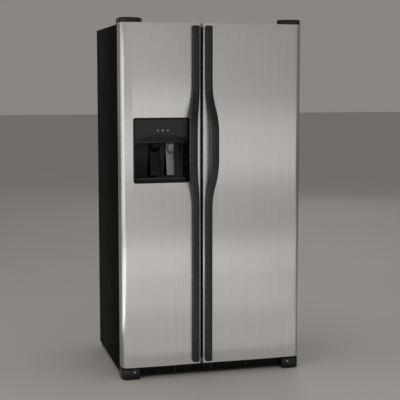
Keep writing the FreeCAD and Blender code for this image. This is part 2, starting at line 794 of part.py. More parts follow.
def build_dispenser():
    block = prism("bezel_block", "y", "recess_back + shell_wall", "recess_back + shell_wall - bezel_front",
                  rounded(("bezel_x", "bezel_end"), ("bezel_floor", "bezel_top"), "bezel_round"))
    outer_duct = duct("duct_outer", "duct_wall", "0")
    recess = slab("recess", RIM, ("bezel_front - 1", "recess_back"), ("recess_floor", "visor_floor"))
    face = slab("panel_seat", RIM, ("bezel_front - 1", "bezel_front + 5"),
                ("recess_floor", "bezel_top - bezel_rim"))
    pit = slab("panel_pit", ("bezel_x + bezel_rim + 5", "bezel_end - bezel_rim - 5"),
               ("bezel_front", "door_front + 34"),
               ("visor_floor + 4", "bezel_top - bezel_rim - 4"))
    hollow = cut("housing_hollow", join("housing_mass", block, outer_duct), recess, face, pit,
                 duct("duct_inner", "0", "5"))
    lugs = []
    for name, middle, width in PADDLES:
        half = width + " / 2"
        for side, sign in (("left", "-"), ("right", "+")):
            far, near = ["%s %s (%s + %d)" % (middle, sign, half, gap) for gap in (5, 1)]
            lugs.append(ear("%s_ear_%s" % (name, side), spread(-1 if sign == "-" else 1, far, near)))
    bores = [rod(name + "_bore", "x", ("%s - %s" % (middle, width), "paddle_line", "pivot_height"),
                 "2 * " + width, "paddle_pin + running_gap") for name, middle, width in PADDLES]
    nozzle = rod("water_nozzle", "z", ("water_mid", "paddle_line - 28", "visor_floor - 14"), "15", "4")
    keep(cut("dispenser_housing", join("housing_lugs", hollow, nozzle, *lugs), *bores))

    plate = slab("panel_plate", RIM, ("bezel_front + 1", "bezel_front + 5"),
                 ("visor_floor", "bezel_top - bezel_rim"))
    run = "(bezel_width - 2 * bezel_rim)"
    visor = prism("panel_visor", "z", "visor_floor", "visor_lip", [
        (RIM[0], "bezel_front + 4"),
        (RIM[0], "bezel_front + 1", "(%s ^ 2 / 4 + visor_bulge ^ 2) / (2 * visor_bulge)" % run, 1),
        (RIM[1], "bezel_front + 1"),
        (RIM[1], "bezel_front + 4"),
    ])
    holes = [rod("button_hole_%d" % index, "y", (place_x, "bezel_front - 2", "button_line"), "12",
                 "button_radius + button_gap") for index, place_x in enumerate(BUTTONS.values())]
    keep(cut("dispenser_panel", join("panel_body", plate, visor), *holes))
    for name, place_x in BUTTONS.items():
        keep(turned(name, "y", (place_x, "bezel_front + 1 - button_proud", "button_line"), [
            ("0", "0"), ("button_radius - 1", "0"), ("button_radius", "1"),
            ("button_radius", "9"), ("0", "9")]))

    for name, middle, width in PADDLES:
        keep(paddle(name, middle, width))
    flap = slab("flap_plate", ("duct_mid - duct_width / 2 + 2", "duct_mid + duct_width / 2 - 2"),
                ("door_front + duct_front - 2", "door_front + duct_rear + 2"), ("visor_floor - 4", "visor_floor - 1"))
    relief = slab("flap_relief", ("duct_mid - 12", "duct_mid + 12"),
                  ("door_front + duct_front - 3", "door_front + duct_front"), ("visor_floor - 5", "visor_floor"))
    pin = rod("flap_pin", "x", ("duct_mid - duct_width / 2 + 2", "door_front + duct_rear + 2", "visor_floor - 2.5"),
              "duct_width - 4", "1.5")
    keep(join("chute_flap", cut("flap_blade", flap, relief), pin))

    tray = slab("tray_body", RIM, ("bezel_front", "door_front + 62"), ("recess_floor", "tray_top"))
    slots = []
    for index in range(14):
        middle = "bezel_x + bezel_rim + tray_edge + %d * tray_pitch" % index
        slots.append(slab("tray_slot_%d" % index, (middle + " - tray_pitch / 4", middle + " + tray_pitch / 4"),
                          ("door_front + 8", "door_front + 52"), ("recess_floor + 2", "tray_top + 1")))
    keep(cut("drip_tray", tray, *slots))


def paddle(name, middle, width):
    """Hanging lever with a shield at its top and a cross pin to turn on."""
    foot = "pivot_height - paddle_hang"
    blade = prism(name + "_blade", "x", "%s - %s / 2" % (middle, width), width, [
        ("paddle_line - paddle_lean - paddle_thick / 2", foot),
        ("paddle_line - paddle_lean + paddle_thick / 2", foot),
        ("paddle_line + paddle_thick / 2", "pivot_height"),
        ("paddle_line - paddle_thick / 2", "pivot_height"),
    ])
    shield = prism(name + "_shield", "y", "paddle_line - 4", "8", [
        ("%s - %s / 2 + 10" % (middle, width), "pivot_height - shield_height - 4"),
        ("%s + %s / 2 - 10" % (middle, width), "pivot_height - shield_height - 4"),
        ("%s + %s / 2" % (middle, width), "pivot_height - 4"),
        ("%s - %s / 2" % (middle, width), "pivot_height - 4"),
    ])
    pin = rod(name + "_pin", "x", ("%s - %s / 2 - 4.5" % (middle, width), "paddle_line", "pivot_height"),
              width + " + 9", "paddle_pin")
    return join(name, blade, shield, pin)


# ---------------------------------------------------------------- hinges, toe area and feet


def build_hinges():
    brackets = []
    for side, hand in SIDES.items():
        across = spread(hand, "%d * (pin_across + 10)" % hand, "%d * (pin_across - 40)" % hand)
        pin_x = "%d * pin_across" % hand
        upper = join(
            side + "_upper_hinge",
            slab(side + "_hinge_arm", across, ("pin_line - 10", "case_front + 6"),
                 ("hinge_top", "hinge_top + hinge_plate")),
            slab(side + "_hinge_riser", across, ("case_front + 2", "case_front + 6"),
                 ("case_height", "hinge_top + hinge_plate")),
            slab(side + "_hinge_tail", across, ("case_front + 2", "case_front + hinge_reach"),
                 ("case_height", "case_height + hinge_plate")),
            rod(side + "_upper_pin", "z", (pin_x, "pin_line", "door_top - pin_depth + 1"),
                "pin_depth + hinge_lift + 1", "pin_radius"))
        low = "door_floor - hinge_lift - hinge_plate"
        lower = join(
            side + "_lower_hinge",
            slab(side + "_lower_arm", across, ("pin_line - 10", "case_front"), (low, "door_floor - hinge_lift")),
            slab(side + "_lower_flange", across, ("case_front - hinge_plate", "case_front"),
                 ("case_floor + 5", "door_floor - hinge_lift")),
            rod(side + "_lower_pin", "z", (pin_x, "pin_line", low), "hinge_plate + hinge_lift + pin_depth - 1",
                "pin_radius"))
        brackets += [upper, lower]
    keep(group("hinge_brackets", *brackets))


def cover_plan(hand, inset):
    """Plan of a hinge cover: round at the outer front corner, narrower at the back."""
    side = "%d * (half_width - 1 - (%s))" % (hand, inset)
    return [
        (side, "cover_back - (%s)" % inset),
        (side, "cover_front + cover_corner", "cover_corner - (%s)" % inset, -hand),
        ("%d * (half_width - cover_corner - 1)" % hand, "cover_front + " + inset),
        ("%d * (half_width - cover_width + 20)" % hand, "cover_front + 12 + " + inset),
        ("%d * (half_width - cover_width + (%s))" % (hand, inset), "cover_front + 42"),
        ("%d * (half_width - cover_tail + (%s))" % (hand, inset), "cover_back - (%s)" % inset),
    ]


def hinge_cover(side, hand):
    """Domed plastic cap over a top hinge, open below."""
    cap = prism(side + "_cap_block", "z", "door_top + 1.5", "cover_rise - 1.5", cover_plan(hand, "0"))
    soften(cap, "9", lambda edge: edge.BoundBox.ZMin > number("cover_top") - 0.01)
    skirt = overlap(side + "_cap_skirt",
                    prism(side + "_skirt_block", "z", "case_height", "door_rise + 3", cover_plan(hand, "0")),
                    slab(side + "_skirt_limit", ("-half_width", "half_width"), ("case_front + 1", "case_back"),
                         ("case_height", "door_top + 3")))
    space = prism(side + "_cap_space", "z", "case_height - 1", "door_rise + cover_rise - 3 * cover_wall",
                  cover_plan(hand, "cover_wall"))
    hole = rod(side + "_cap_hole", "z", ("%d * screw_across" % hand, "cover_screw_line", "cover_top - 20"),
               "30", "screw_radius")
    return cut(side + "_hinge_cover", join(side + "_cap_mass", cap, skirt), space, hole)


def corner_cover(side, hand):
    """Rounded cap in front of a lower hinge, open at the top and the back."""

    def plan(inset, back):
        outer = "%d * (half_width - %s)" % (hand, inset)
        inner = "%d * (half_width - corner_width + %s)" % (hand, inset)
        return [
            (outer, back),
            (outer, "door_front + edge_roll", "edge_roll - " + inset, -hand),
            ("%d * (half_width - edge_roll)" % hand, "door_front + " + inset),
            ("%d * (half_width - corner_width + 8)" % hand, "door_front + " + inset, "8 - " + inset, -hand),
            (inner, "door_front + 8"),
            (inner, back),
        ]

    block = prism(side + "_corner_block", "z", "corner_floor", "toe_top - corner_floor", plan("0", "case_front"))
    space = prism(side + "_corner_space", "z", "corner_floor + cover_wall", "toe_top",
                  plan("cover_wall", "case_front + 1"))
    hole = rod(side + "_corner_hole", "y", ("%d * screw_across" % hand, "door_front - 1", "corner_screw_height"),
               "10", "screw_radius")
    return cut(side + "_corner_cover", block, space, hole)


def screw(label, axis, point, inward):
    """Pan head screw; inward is +1 when its shank runs along +axis."""
    profile = [("0", "0"), ("screw_head - 1.5", "0"), ("screw_head", "1"), ("screw_head", "2"),
               ("screw_radius", "2"), ("screw_radius", "9"), ("0", "9")]
    if inward < 0:
        profile = [(across, "-(%s)" % up) for across, up in reversed(profile)]
    return turned(label, axis, point, profile)


MACHINE_SCREWS = ("-half_width + machine_screw_inset", "-machine_screw_across", "machine_screw_across",
                  "half_width - machine_screw_inset")


def build_covers():
    keep(group("hinge_covers", *[hinge_cover(side, hand) for side, hand in SIDES.items()]))
    keep(group("corner_covers", *[corner_cover(side, hand) for side, hand in SIDES.items()]))
    screws = []
    for side, hand in SIDES.items():
        across = "%d * screw_across" % hand
        screws.append(screw(side + "_cap_screw", "z", (across, "cover_screw_line", "cover_top + 2"), -1))
        screws.append(screw(side + "_corner_screw", "y", (across, "door_front - 2", "corner_screw_height"), 1))
    for index, across in enumerate(MACHINE_SCREWS):
        screws.append(screw("machine_screw_%d" % index, "y", (across, "case_back - 1", "machine_screw_height"), -1))
    keep(group("cover_screws", *screws))

    plate = slab("toe_plate", ("-half_width + corner_width", "half_width - corner_width"),
                 ("toe_front", "toe_front + 8"), ("toe_floor", "toe_top"))
    slots = []
    for row in range(4):
        low = "toe_floor + 6 + %d * toe_row" % row
        for column in range(4):
            left = "(-half_width + corner_width) * (1 - %d / 2) + 8" % column
            across = (left, left + " + (half_width - corner_width) / 2 - 16")
            slots.append(slab("toe_slot_%d_%d" % (row, column), across, ("toe_front - 1", "toe_front + 9"),
                              (low, low + " + toe_slot")))
    tabs = [slab("toe_tab_%s" % side, ("%d * toe_tab - toe_tab_half" % hand, "%d * toe_tab + toe_tab_half" % hand),
                 ("toe_front + 7", "case_front + 5"), ("case_floor + 15", "toe_top"))
            for side, hand in SIDES.items()]
    keep(join("toe_grille", cut("toe_louvres", plate, *slots), *tabs))


ROLLERS = {"front": "roller_front", "rear": "roller_rear"}


def build_base():
    pieces = [
        slab("front_beam", ("-half_width + steel", "half_width - steel"), ("case_front + 5", "case_front + 33"),
             ("case_floor + 15", "door_floor")),
        slab("machine_pan", ("-half_width + steel", "half_width - steel"), ("machine_front", "case_back - 2"),
             ("pan_top - 2", "pan_top")),
        slab("fan_post", ("fan_across + 32", "fan_across + 35"), ("fan_line - 12", "fan_line + 12"),
             ("pan_top - 1", "fan_height + 12")),
        rod("fan_pin", "x", ("fan_across", "fan_line", "fan_height"), "33", "axle_radius"),
        rod("fan_pin_head", "x", ("fan_across", "fan_line", "fan_height"), "4.6", "axle_radius + 2.5"),
        rod("fan_pin_collar", "x", ("fan_across + 29.4", "fan_line", "fan_height"), "3.6", "axle_radius + 3"),
    ]
    rollers = []
    for side, hand in SIDES.items():
        wall = "%d * (half_width - steel)" % hand
        pieces.append(slab(side + "_rail", spread(hand, wall, "%d * (half_width - 20)" % hand),
                           ("case_front + 5", "case_back - 2"), ("case_floor + 3", "door_floor")))
        for end, line in ROLLERS.items():
            name = "%s_%s_roller" % (end, side)
            pieces.append(slab(name + "_ear", spread(hand, wall, "%d * (half_width - 6)" % hand),
                               (line + " - 16", line + " + 16"), ("roller_radius - 10", "door_floor")))
            middle = ("%d * roller_side" % hand, line, "roller_radius")
            stub = "%d * (half_width - 3)" % hand
            tip = "%d * (roller_side - roller_width / 2 - 3)" % hand
            low, high = spread(hand, stub, tip)
            pieces.append(rod(name + "_pin", "x", (low, line, "roller_radius"),
                              "%s - %s" % (high, low), "axle_radius"))
            head = spread(hand, "%d * (roller_side - roller_width / 2 - 0.4)" % hand, tip)
            pieces.append(rod(name + "_pin_head", "x", (head[0], line, "roller_radius"),
                              "%s - %s" % (head[1], head[0]), "axle_radius + 3"))
            collar = spread(hand, stub, "%d * (roller_side + roller_width / 2 + 0.4)" % hand)
            pieces.append(rod(name + "_pin_collar", "x", (collar[0], line, "roller_radius"),
                              "%s - (%s)" % (collar[1], collar[0]), "axle_radius + 3"))
            rollers.append((name, middle))
    leg_holes = [rod(side + "_leg_hole", "z", ("%d * leg_across" % hand, "leg_line", "case_floor"), "door_floor",
                     "leg_radius + running_gap") for side, hand in SIDES.items()]
    keep(cut("base_frame", join("base_weldment", *pieces), *leg_holes))
    for name, (across, line, height) in rollers:
        keep(turned(name, "x", (across + " - roller_width / 2", line, height), [
            ("axle_radius + running_gap", "0"), ("roller_radius - 2", "0"), ("roller_radius", "2"),
            ("roller_radius", "roller_width - 2"), ("roller_radius - 2", "roller_width"),
            ("axle_radius + running_gap", "roller_width")]))
    for side, hand in SIDES.items():
        keep(turned(side + "_leveling_leg", "z", ("%d * leg_across" % hand, "leg_line", "0"), [
            ("0", "0"), ("foot_radius", "0"), ("foot_radius", "5"), ("9", "8"), ("9", "15"),
            ("leg_radius", "15"), ("leg_radius", "door_floor + 6"), ("0", "door_floor + 6")]))


# ---------------------------------------------------------------- cooling machinery


def fan(label, axis, point):
    """Five pitched blades round a hub that turns on a pin."""
    body = add("PartDesign::Body", label)
    hub = body.newObject("PartDesign::Revolution", label + "_hub")
    ring = sketch_on(body, "XZ_Plane", "0", [
        ("axle_radius + running_gap", "0"), ("hub_radius", "0"), ("hub_radius", "24"),
        ("axle_radius + running_gap", "24")])
    hub.Profile = ring
    hub.ReferenceAxis = (ring, ["V_Axis"])
    hub.Angle = 360
    blade = body.newObject("PartDesign::Pad", label + "_blade")
    blade.Profile = sketch_on(body, "YZ_Plane", "hub_radius - 2", [
        ("-9", "2"), ("-6.5", "2"), ("9", "21"), ("6.5", "21")])
    tie(blade, "Length", "fan_radius - hub_radius + 2")
    spread_blades = body.newObject("PartDesign::PolarPattern", label + "_blades")
    spread_blades.Originals = [blade]
    spread_blades.Axis = (next(i for i in body.Origin.OriginFeatures if i.Role == "Z_Axis"), [""])
    spread_blades.Angle = 360
    spread_blades.Occurrences = 5
    body.Tip = spread_blades
    seat(body, axis, point)
    return keep(body)


def coil(label, across, along, up, fins, tubes):
    """Tubes through a stack of thin fins, with deeper end plates."""
    (left, right), (front, back), (low, high) = across, along, up
    pitch = "((%s) - (%s) - 2) / %d" % (right, left, fins)
    plates = []
    for index in range(fins + 1):
        start = "%s + %d * %s" % (left, index, pitch)
        plates.append(slab("%s_fin_%d" % (label, index), (start, start + " + 1.5"), along, up))
    for index in range(tubes):
        height = "%s + ((%s) - (%s)) * %d / %d" % (low, high, low, 2 * index + 1, 2 * tubes)
        for row in (1, 3):
            line = "%s + ((%s) - (%s)) * %d / 4" % (front, back, front, row)
            plates.append(rod("%s_tube_%d_%d" % (label, index, row), "x", (left + " - 6", line, height),
                              "(%s) - (%s) + 12" % (right, left), "5"))
    return keep(join(label, *plates))


def build_compressor():
    shell = turned("compressor_shell", "z", ("compressor_across", "fan_line", "pan_top"), [
        ("0", "14"), ("66", "14"), ("76", "24"), ("76", "62"), ("81", "66"), ("81", "72"), ("76", "76"),
        ("76", "118"), ("70", "138"), ("52", "154"), ("26", "163"), ("0", "165")])
    base = slab("compressor_base", ("compressor_across - compressor_half", "compressor_across + compressor_half"),
                ("fan_line - 60", "fan_line + 60"), ("pan_top + 12", "pan_top + 15"))
    feet = [rod("compressor_foot_%d_%d" % (x, y), "z",
                ("compressor_across + %d * compressor_foot" % x, "fan_line + %d * 46" % y, "pan_top"), "13", "11")
            for x in (-1, 1) for y in (-1, 1)]
    box = slab("compressor_terminals", ("compressor_across + 75", "compressor_across + 98"),
               ("fan_line - 20", "fan_line + 20"), ("pan_top + 33", "pan_top + 83"))
    keep(join("compressor", shell, base, box, *feet))


def build_machine_cover():
    through = ("case_back - steel - 1", "case_back + 1")
    sheet = slab("machine_sheet", ("-half_width + steel", "half_width - steel"), ("case_back - steel", "case_back"),
                 ("door_floor", "machine_height"))
    slots = []
    for column in (-1, 0, 1):
        middle = "%d * machine_slot_pitch - 10" % column
        across = (middle + " - machine_slot_length / 2", middle + " + machine_slot_length / 2")
        for row in range(9):
            low = "door_floor + 40 + %d * machine_row" % row
            slots.append(slab("machine_slot_%d_%d" % (column, row), across, through,
                              (low, low + " + machine_slot")))
    valve_notch = slab("valve_notch", ("valve_across - 33", "valve_across + 32"), through,
                       ("valve_height - 40", "valve_height + 40"))
    gland_hole = rod("gland_hole", "y", ("gland_across", "case_back - 5", "gland_height"), "10",
                     "gland_radius + 0.2")
    screw_holes = [rod("machine_hole_%d" % index, "y", (across, "case_back - 5", "machine_screw_height"), "10",
                       "screw_radius") for index, across in enumerate(MACHINE_SCREWS)]
    keep(cut("machine_cover", sheet, valve_notch, gland_hole, *slots, *screw_holes))


def build_services():
    """Water valve and the gland that the mains cord would pass through."""
    valve = slab("valve_block", ("valve_across - 23", "valve_across + 22"), ("case_back - 55", "case_back - 20"),
                 ("valve_height - 25", "valve_height + 25"))
    bracket = slab("valve_bracket", ("valve_across + 17", "half_width - steel"), ("case_back - 52", "case_back - 49"),
                   ("valve_height - 30", "valve_height + 30"))
    inlet = rod("valve_inlet", "y", ("valve_across", "case_back - 21", "valve_height"), "18", "valve_outlet")
    solenoid = rod("valve_solenoid", "z", ("valve_across", "case_back - 37", "valve_height + 24"), "36", "15")
    keep(join("water_inlet_valve", valve, bracket, inlet, solenoid))

    sleeve = rod("gland_sleeve", "y", ("gland_across", "case_back - 16", "gland_height"), "16", "gland_radius")
    flange = rod("gland_flange", "y", ("gland_across", "case_back - 8", "gland_height"), "6", "gland_radius + 4")
    bore = rod("gland_bore", "y", ("gland_across", "case_back - 17", "gland_height"), "18", "cord_radius")
    keep(cut("power_cord_gland", join("gland_body", sleeve, flange), bore))


def build_evaporator():
    fan_z = "evaporator_fan_height"
    coil("evaporator", ("freezer_left + 22", "freezer_right - 22"), ("coil_front + 8", "inner_back - 4"),
         ("step_top + 30", "step_top + 30 + evaporator_height"), 16, 6)
    panel = slab("cover_panel", ("freezer_left", "freezer_right"), ("panel_front", "coil_front"),
                 ("step_top", "inner_top"))
    arm_height = (fan_z + " - 8", fan_z + " + 8")
    reach = "(fan_radius + fan_arm)"
    posts = [slab("fan_arm_%s" % side, ("freezer_mid + %d * %s - 4" % (hand, reach),
                                        "freezer_mid + %d * %s + 4" % (hand, reach)),
                  ("coil_front - 1", "coil_front + 41"), arm_height)
             for side, hand in SIDES.items()]
    bar = slab("fan_bar", ("freezer_mid - " + reach, "freezer_mid + " + reach),
               ("coil_front + 38", "coil_front + 41"), arm_height)
    pin = rod("evaporator_pin", "y", ("freezer_mid", "coil_front + 5", fan_z), "34", "axle_radius")
    head = rod("evaporator_pin_head", "y", ("freezer_mid", "coil_front + 5", fan_z), "3.6", "axle_radius + 2.5")
    collar = rod("evaporator_pin_collar", "y", ("freezer_mid", "coil_front + 33.4", fan_z), "5", "axle_radius + 3")
    through = ("panel_front - 1", "coil_front + 1")
    vents = [slab("cover_slot_%d" % row, ("freezer_mid - 60", "freezer_mid + 60"), through,
                  ("%s + %d" % (fan_z, row * 14 - 3), "%s + %d" % (fan_z, row * 14 + 3))) for row in range(-4, 5)]
    returns = [slab("return_slot_%d" % row, ("freezer_mid - 110", "freezer_mid + 110"), through,
                    ("step_top + %d" % (20 + row * 14), "step_top + %d" % (26 + row * 14))) for row in range(3)]
    keep(join("evaporator_cover", cut("cover_sheet", panel, *vents, *returns), *posts, bar, pin, head, collar))
    fan("evaporator_fan", "y", ("freezer_mid", "coil_front + 9", fan_z))


def build_machine():
    build_compressor()
    coil("condenser_coil", ("condenser_left", "condenser_right"),
         ("fan_line - condenser_half", "fan_line + condenser_half"), ("pan_top", "machine_height - 50"), 14, 5)
    fan("condenser_fan", "x", ("fan_across + 5", "fan_line", "fan_height"))
    build_machine_cover()
    build_services()
    build_evaporator()


# ---------------------------------------------------------------- inside the compartments


def shelf(label, across, back, height):
    """Rimmed frame and the glass that sits in its groove."""
    left, right = across
    y = ("shelf_front", back)
    body = slab(label + "_body", (left + " + shelf_side_gap", right + " - shelf_side_gap"), y,
                (height, height + " + shelf_thick"))
    window = slab(label + "_window", (left + " + shelf_rim", right + " - shelf_rim"),
                  ("shelf_front + shelf_rim - 2", back + " - shelf_rim + 2"),
                  (height + " - 1", height + " + shelf_thick + 1"))
    pane = slab(label + "_pane", (left + " + shelf_rim - shelf_groove", right + " - shelf_rim + shelf_groove"),
                ("shelf_front + shelf_rim - 2 - shelf_groove", back + " - shelf_rim + 2 + shelf_groove"),
                (height + " + 6", height + " + 6 + glass_thick"))
    return cut(label + "_frame", body, window, pane), pane


def drawer(label, across, along, floor):
    """Open tray with a thicker front that ends in a grip."""
    left, right = across
    front, back = along
    top = floor + " + drawer_height"
    body = slab(label + "_body", across, along, (floor, top))
    space = slab(label + "_space", (left + " + drawer_wall", right + " - drawer_wall"),
                 (front + " + drawer_wall + 6", back + " - drawer_wall"), (floor + " + drawer_wall", top + " + 1"))
    scoop = slab(label + "_scoop", (left + " + scoop_inset", right + " - scoop_inset"),
                 (front + " - 1", front + " + 6"), (top + " - 34", top + " - 14"))
    return keep(cut(label, body, space, scoop))


def build_shelves():
    plan = [("freezer_shelf_%d" % index, COMPARTMENTS["freezer"], "panel_front - 6", height)
            for index, height in enumerate(SHELVES["freezer"])]
    plan += [("fridge_shelf_%d" % index, COMPARTMENTS["fridge"], "inner_back - 6", height)
             for index, height in enumerate(SHELVES["fridge"])]
    plan.append(("crisper_cover", COMPARTMENTS["fridge"], "step_face - 2", "step_top - 19"))
    frames, panes = [], []
    for name, span, back, height in plan:
        frame, pane = shelf(name, span, back, height)
        frames.append(frame)
        panes.append(pane)
    keep(group("shelf_frames", *frames))
    keep(group("shelf_glass", *panes))


def build_drawers():
    wide = {name: (left + " + 4", right + " - 4") for name, (left, right) in COMPARTMENTS.items()}
    drawer("freezer_basket", wide["freezer"], ("drawer_front", "step_face - 8"), "lower_drawer_floor")
    drawer("crisper_drawer", wide["fridge"], ("drawer_front", "step_face - 8"), "lower_drawer_floor")
    drawer("deli_drawer", wide["fridge"], ("drawer_front", "inner_back - 10"), "upper_drawer_floor")


def build_ice():
    """Ice bin over the door's chute, and the ice maker that fills it."""
    body = slab("ice_bin_body", ("freezer_left + ice_bin_inset", "freezer_right - ice_bin_inset"),
                ("dike_face + 6", "panel_front - 8"), ("ice_bin_floor", "ice_bin_top"))
    space = slab("ice_bin_space", ("freezer_left + ice_bin_inset + 3", "freezer_right - ice_bin_inset - 3"),
                 ("dike_face + 9", "panel_front - 11"), ("ice_bin_floor + 3", "ice_bin_top + 1"))
    outlet = slab("ice_bin_outlet", ("duct_mid - duct_width / 2 + 3", "duct_mid + duct_width / 2 - 3"),
                  ("dike_face + 5", "dike_face + 10"), ("ice_bin_floor + 5", "ice_bin_floor + duct_height - 5"))
    keep(cut("ice_bin", body, space, outlet))

    left, right = "duct_mid - 20", "duct_mid + 110"
    front = "panel_front - 30 - ice_maker_length"
    mould = slab("ice_mould", (left, right), (front, "panel_front - 30"),
                 ("ice_maker_floor + 10", "ice_maker_floor + 60"))
    wells = []
    for index in range(7):
        start = "%s + 4 + %d * ice_well_pitch" % (front, index)
        wells.append(slab("ice_well_%d" % index, (left + " + 12", right + " - 30"),
                          (start, start + " + ice_well_length"), ("ice_maker_floor + 30", "ice_maker_floor + 61")))
    head = slab("ice_maker_head", (left, right), ("panel_front - 31", "panel_front"),
                ("ice_maker_floor", "ice_maker_floor + ice_maker_height"))
    arm_side = (left + " - 12", left + " + 1")
    arm = slab("ice_maker_arm", arm_side, (front + " + 2", "panel_front - 20"),
               ("ice_maker_floor", "ice_maker_floor + 4"))
    arm_root = slab("ice_maker_arm_root", arm_side, ("panel_front - 26", "panel_front - 20"),
                    ("ice_maker_floor", "ice_maker_floor + 40"))
    keep(join("ice_maker", cut("ice_tray", mould, *wells), head, arm, arm_root))


def build_controls():
    box = slab("control_case", ("fridge_mid - control_half", "fridge_mid + control_half"),
               ("case_front + control_setback", "case_front + control_setback + control_length"),
               ("inner_top - control_height", "inner_top"))
    sockets = [rod("knob_socket_%s" % side, "y",
                   ("fridge_mid + %d * knob_spacing" % hand, "case_front + control_setback - 1", "knob_height"),
                   "20", "axle_radius + running_gap") for side, hand in SIDES.items()]
    keep(cut("control_box", box, *sockets))
    for name, hand in (("freezer_knob", -1), ("fridge_knob", 1)):
        across = "fridge_mid + %d * knob_spacing" % hand
        wheel = turned(name + "_wheel", "y", (across, "case_front + control_setback - 18", "knob_height"), [
            ("0", "4"), ("knob_radius - 4", "4"), ("knob_radius", "8"), ("knob_radius", "17"),
            ("axle_radius", "17"), ("axle_radius", "34"), ("0", "34")])
        grip = slab(name + "_grip", (across + " - 3", across + " + 3"),
                    ("case_front + control_setback - 20", "case_front + control_setback - 12"),
                    ("knob_height - knob_radius + 3", "knob_height + knob_radius - 3"))
        keep(join(name, wheel, grip))
    lamps = [slab(name + "_lamp", (name + "_mid - lamp_half", name + "_mid + lamp_half"),
                  ("case_front + lamp_setback", "case_front + lamp_setback + lamp_length"),
                  ("inner_top - lamp_height", "inner_top"))
             for name in COMPARTMENTS]
    keep(group("interior_lamps", *lamps))


build_cabinet()
build_dispenser()
build_door("freezer", DOORS["freezer"], [doc.getObject("bezel_block"), doc.getObject("duct_outer")])
build_door("fridge", DOORS["fridge"])
build_dairy_door()
build_hinges()
build_covers()
build_base()
build_machine()
build_shelves()
build_drawers()
build_ice()
build_controls()


def check_and_write():
    doc.recompute()
    for item in doc.Objects:
        if "Invalid" in item.State or "Error" in item.State:
            raise ValueError("%s did not build: %s" % (item.Label, item.State))
    os.makedirs("parts", exist_ok=True)
    for item in parts:
        shape = item.Shape
        if shape.isNull() or not shape.isValid() or not shape.Solids:
            raise ValueError(item.Label + " has no valid solid")
        shape.exportStep("parts/%s.step" % item.Label)
    print("%d parts written" % len(parts))


check_and_write()
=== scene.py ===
import json
import math

import bmesh
import bpy
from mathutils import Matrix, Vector


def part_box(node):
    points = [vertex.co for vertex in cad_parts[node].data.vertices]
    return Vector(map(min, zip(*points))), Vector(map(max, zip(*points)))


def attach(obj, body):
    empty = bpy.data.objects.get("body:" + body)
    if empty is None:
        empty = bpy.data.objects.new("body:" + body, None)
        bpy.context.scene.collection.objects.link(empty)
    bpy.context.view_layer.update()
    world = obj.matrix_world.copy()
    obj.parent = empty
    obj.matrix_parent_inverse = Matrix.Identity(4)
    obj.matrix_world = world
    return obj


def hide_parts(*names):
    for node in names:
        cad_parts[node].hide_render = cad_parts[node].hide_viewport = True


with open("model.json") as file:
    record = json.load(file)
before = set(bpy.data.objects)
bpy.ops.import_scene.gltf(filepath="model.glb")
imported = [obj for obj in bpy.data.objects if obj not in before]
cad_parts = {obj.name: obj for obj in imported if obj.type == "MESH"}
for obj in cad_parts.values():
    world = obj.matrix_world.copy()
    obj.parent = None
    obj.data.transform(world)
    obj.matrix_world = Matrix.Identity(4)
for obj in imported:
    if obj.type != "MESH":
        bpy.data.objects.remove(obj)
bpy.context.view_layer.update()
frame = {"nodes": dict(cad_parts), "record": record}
nodes = frame["nodes"]
ownerOf = {name: body for body, names in frame["record"]["behaviour"]["bodies"].items() for name in names}
slotOf = {row["node"]: row["material_slot"] for row in frame["record"]["subparts"]}
mm = 0.001


def linear(code):
    channels = [int(code[i:i + 2], 16) / 255 for i in (1, 3, 5)]
    return (*[c / 12.92 if c <= 0.04045 else ((c + 0.055) / 1.055) ** 2.4 for c in channels], 1.0)


def addNode(tree, kind, settings=None, inputs=None):
    made = tree.nodes.new(kind)
    for name, value in (settings or {}).items():
        setattr(made, name, value)
    for name, value in (inputs or {}).items():
        socket = made.inputs[name]
        if isinstance(value, bpy.types.NodeSocket):
            tree.links.new(value, socket)
        else:
            socket.default_value = value
    return made


def mould(name, points, faces, material=None, crease=35):
    mesh = bpy.data.meshes.new(name)
    mesh.from_pydata([tuple(p) for p in points], [], faces)
    shape = bmesh.new()
    shape.from_mesh(mesh)
    bmesh.ops.remove_doubles(shape, verts=shape.verts, dist=1e-6)
    bmesh.ops.recalc_face_normals(shape, faces=shape.faces)
    shape.to_mesh(mesh)
    shape.free()
    smooth(mesh, crease)
    piece = bpy.data.objects.new(name, mesh)
    bpy.context.scene.collection.objects.link(piece)
    if material:
        mesh.materials.append(material)
    return piece


def smooth(mesh, crease):
    mesh.polygons.foreach_set("use_smooth", [True] * len(mesh.polygons))
    mesh.set_sharp_from_angle(angle=math.radians(crease))


def loft(name, rings, material=None, crease=35):
    count = len(rings[0])
    points = [p for ring in rings for p in ring]
    faces = [(a, a - a % count + (a + 1) % count, a - a % count + (a + 1) % count + count, a + count)
             for a in range(len(points) - count)]
    faces += [tuple(range(count)), tuple(range(len(points) - count, len(points)))]
    return mould(name, points, faces, material, crease)


def settle(piece, crease=35):
    ready = bpy.context.evaluated_depsgraph_get()
    done = bpy.data.meshes.new_from_object(piece.evaluated_get(ready))
    old = piece.data
    piece.modifiers.clear()
    piece.data = done
    bpy.data.meshes.remove(old)
    smooth(piece.data, crease)
    return piece


def carve(piece, tools, operation="DIFFERENCE", crease=35):
    for tool in tools:
        change = piece.modifiers.new("carve", "BOOLEAN")
        change.object = tool
        change.operation = operation
        change.solver = "EXACT"
    settle(piece, crease)
    for tool in tools:
        bpy.data.objects.remove(tool)
    return piece


def fit(piece, body, slot, *replaced):
    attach(piece, body)
    if replaced:
        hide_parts(*replaced)
    return piece


def corner(centre, radius, start, end, steps):
    angles = [math.radians(start + (end - start) * i / steps) for i in range(steps + 1)]
    return [(centre[0] + radius * math.cos(a), centre[1] + radius * math.sin(a)) for a in angles]


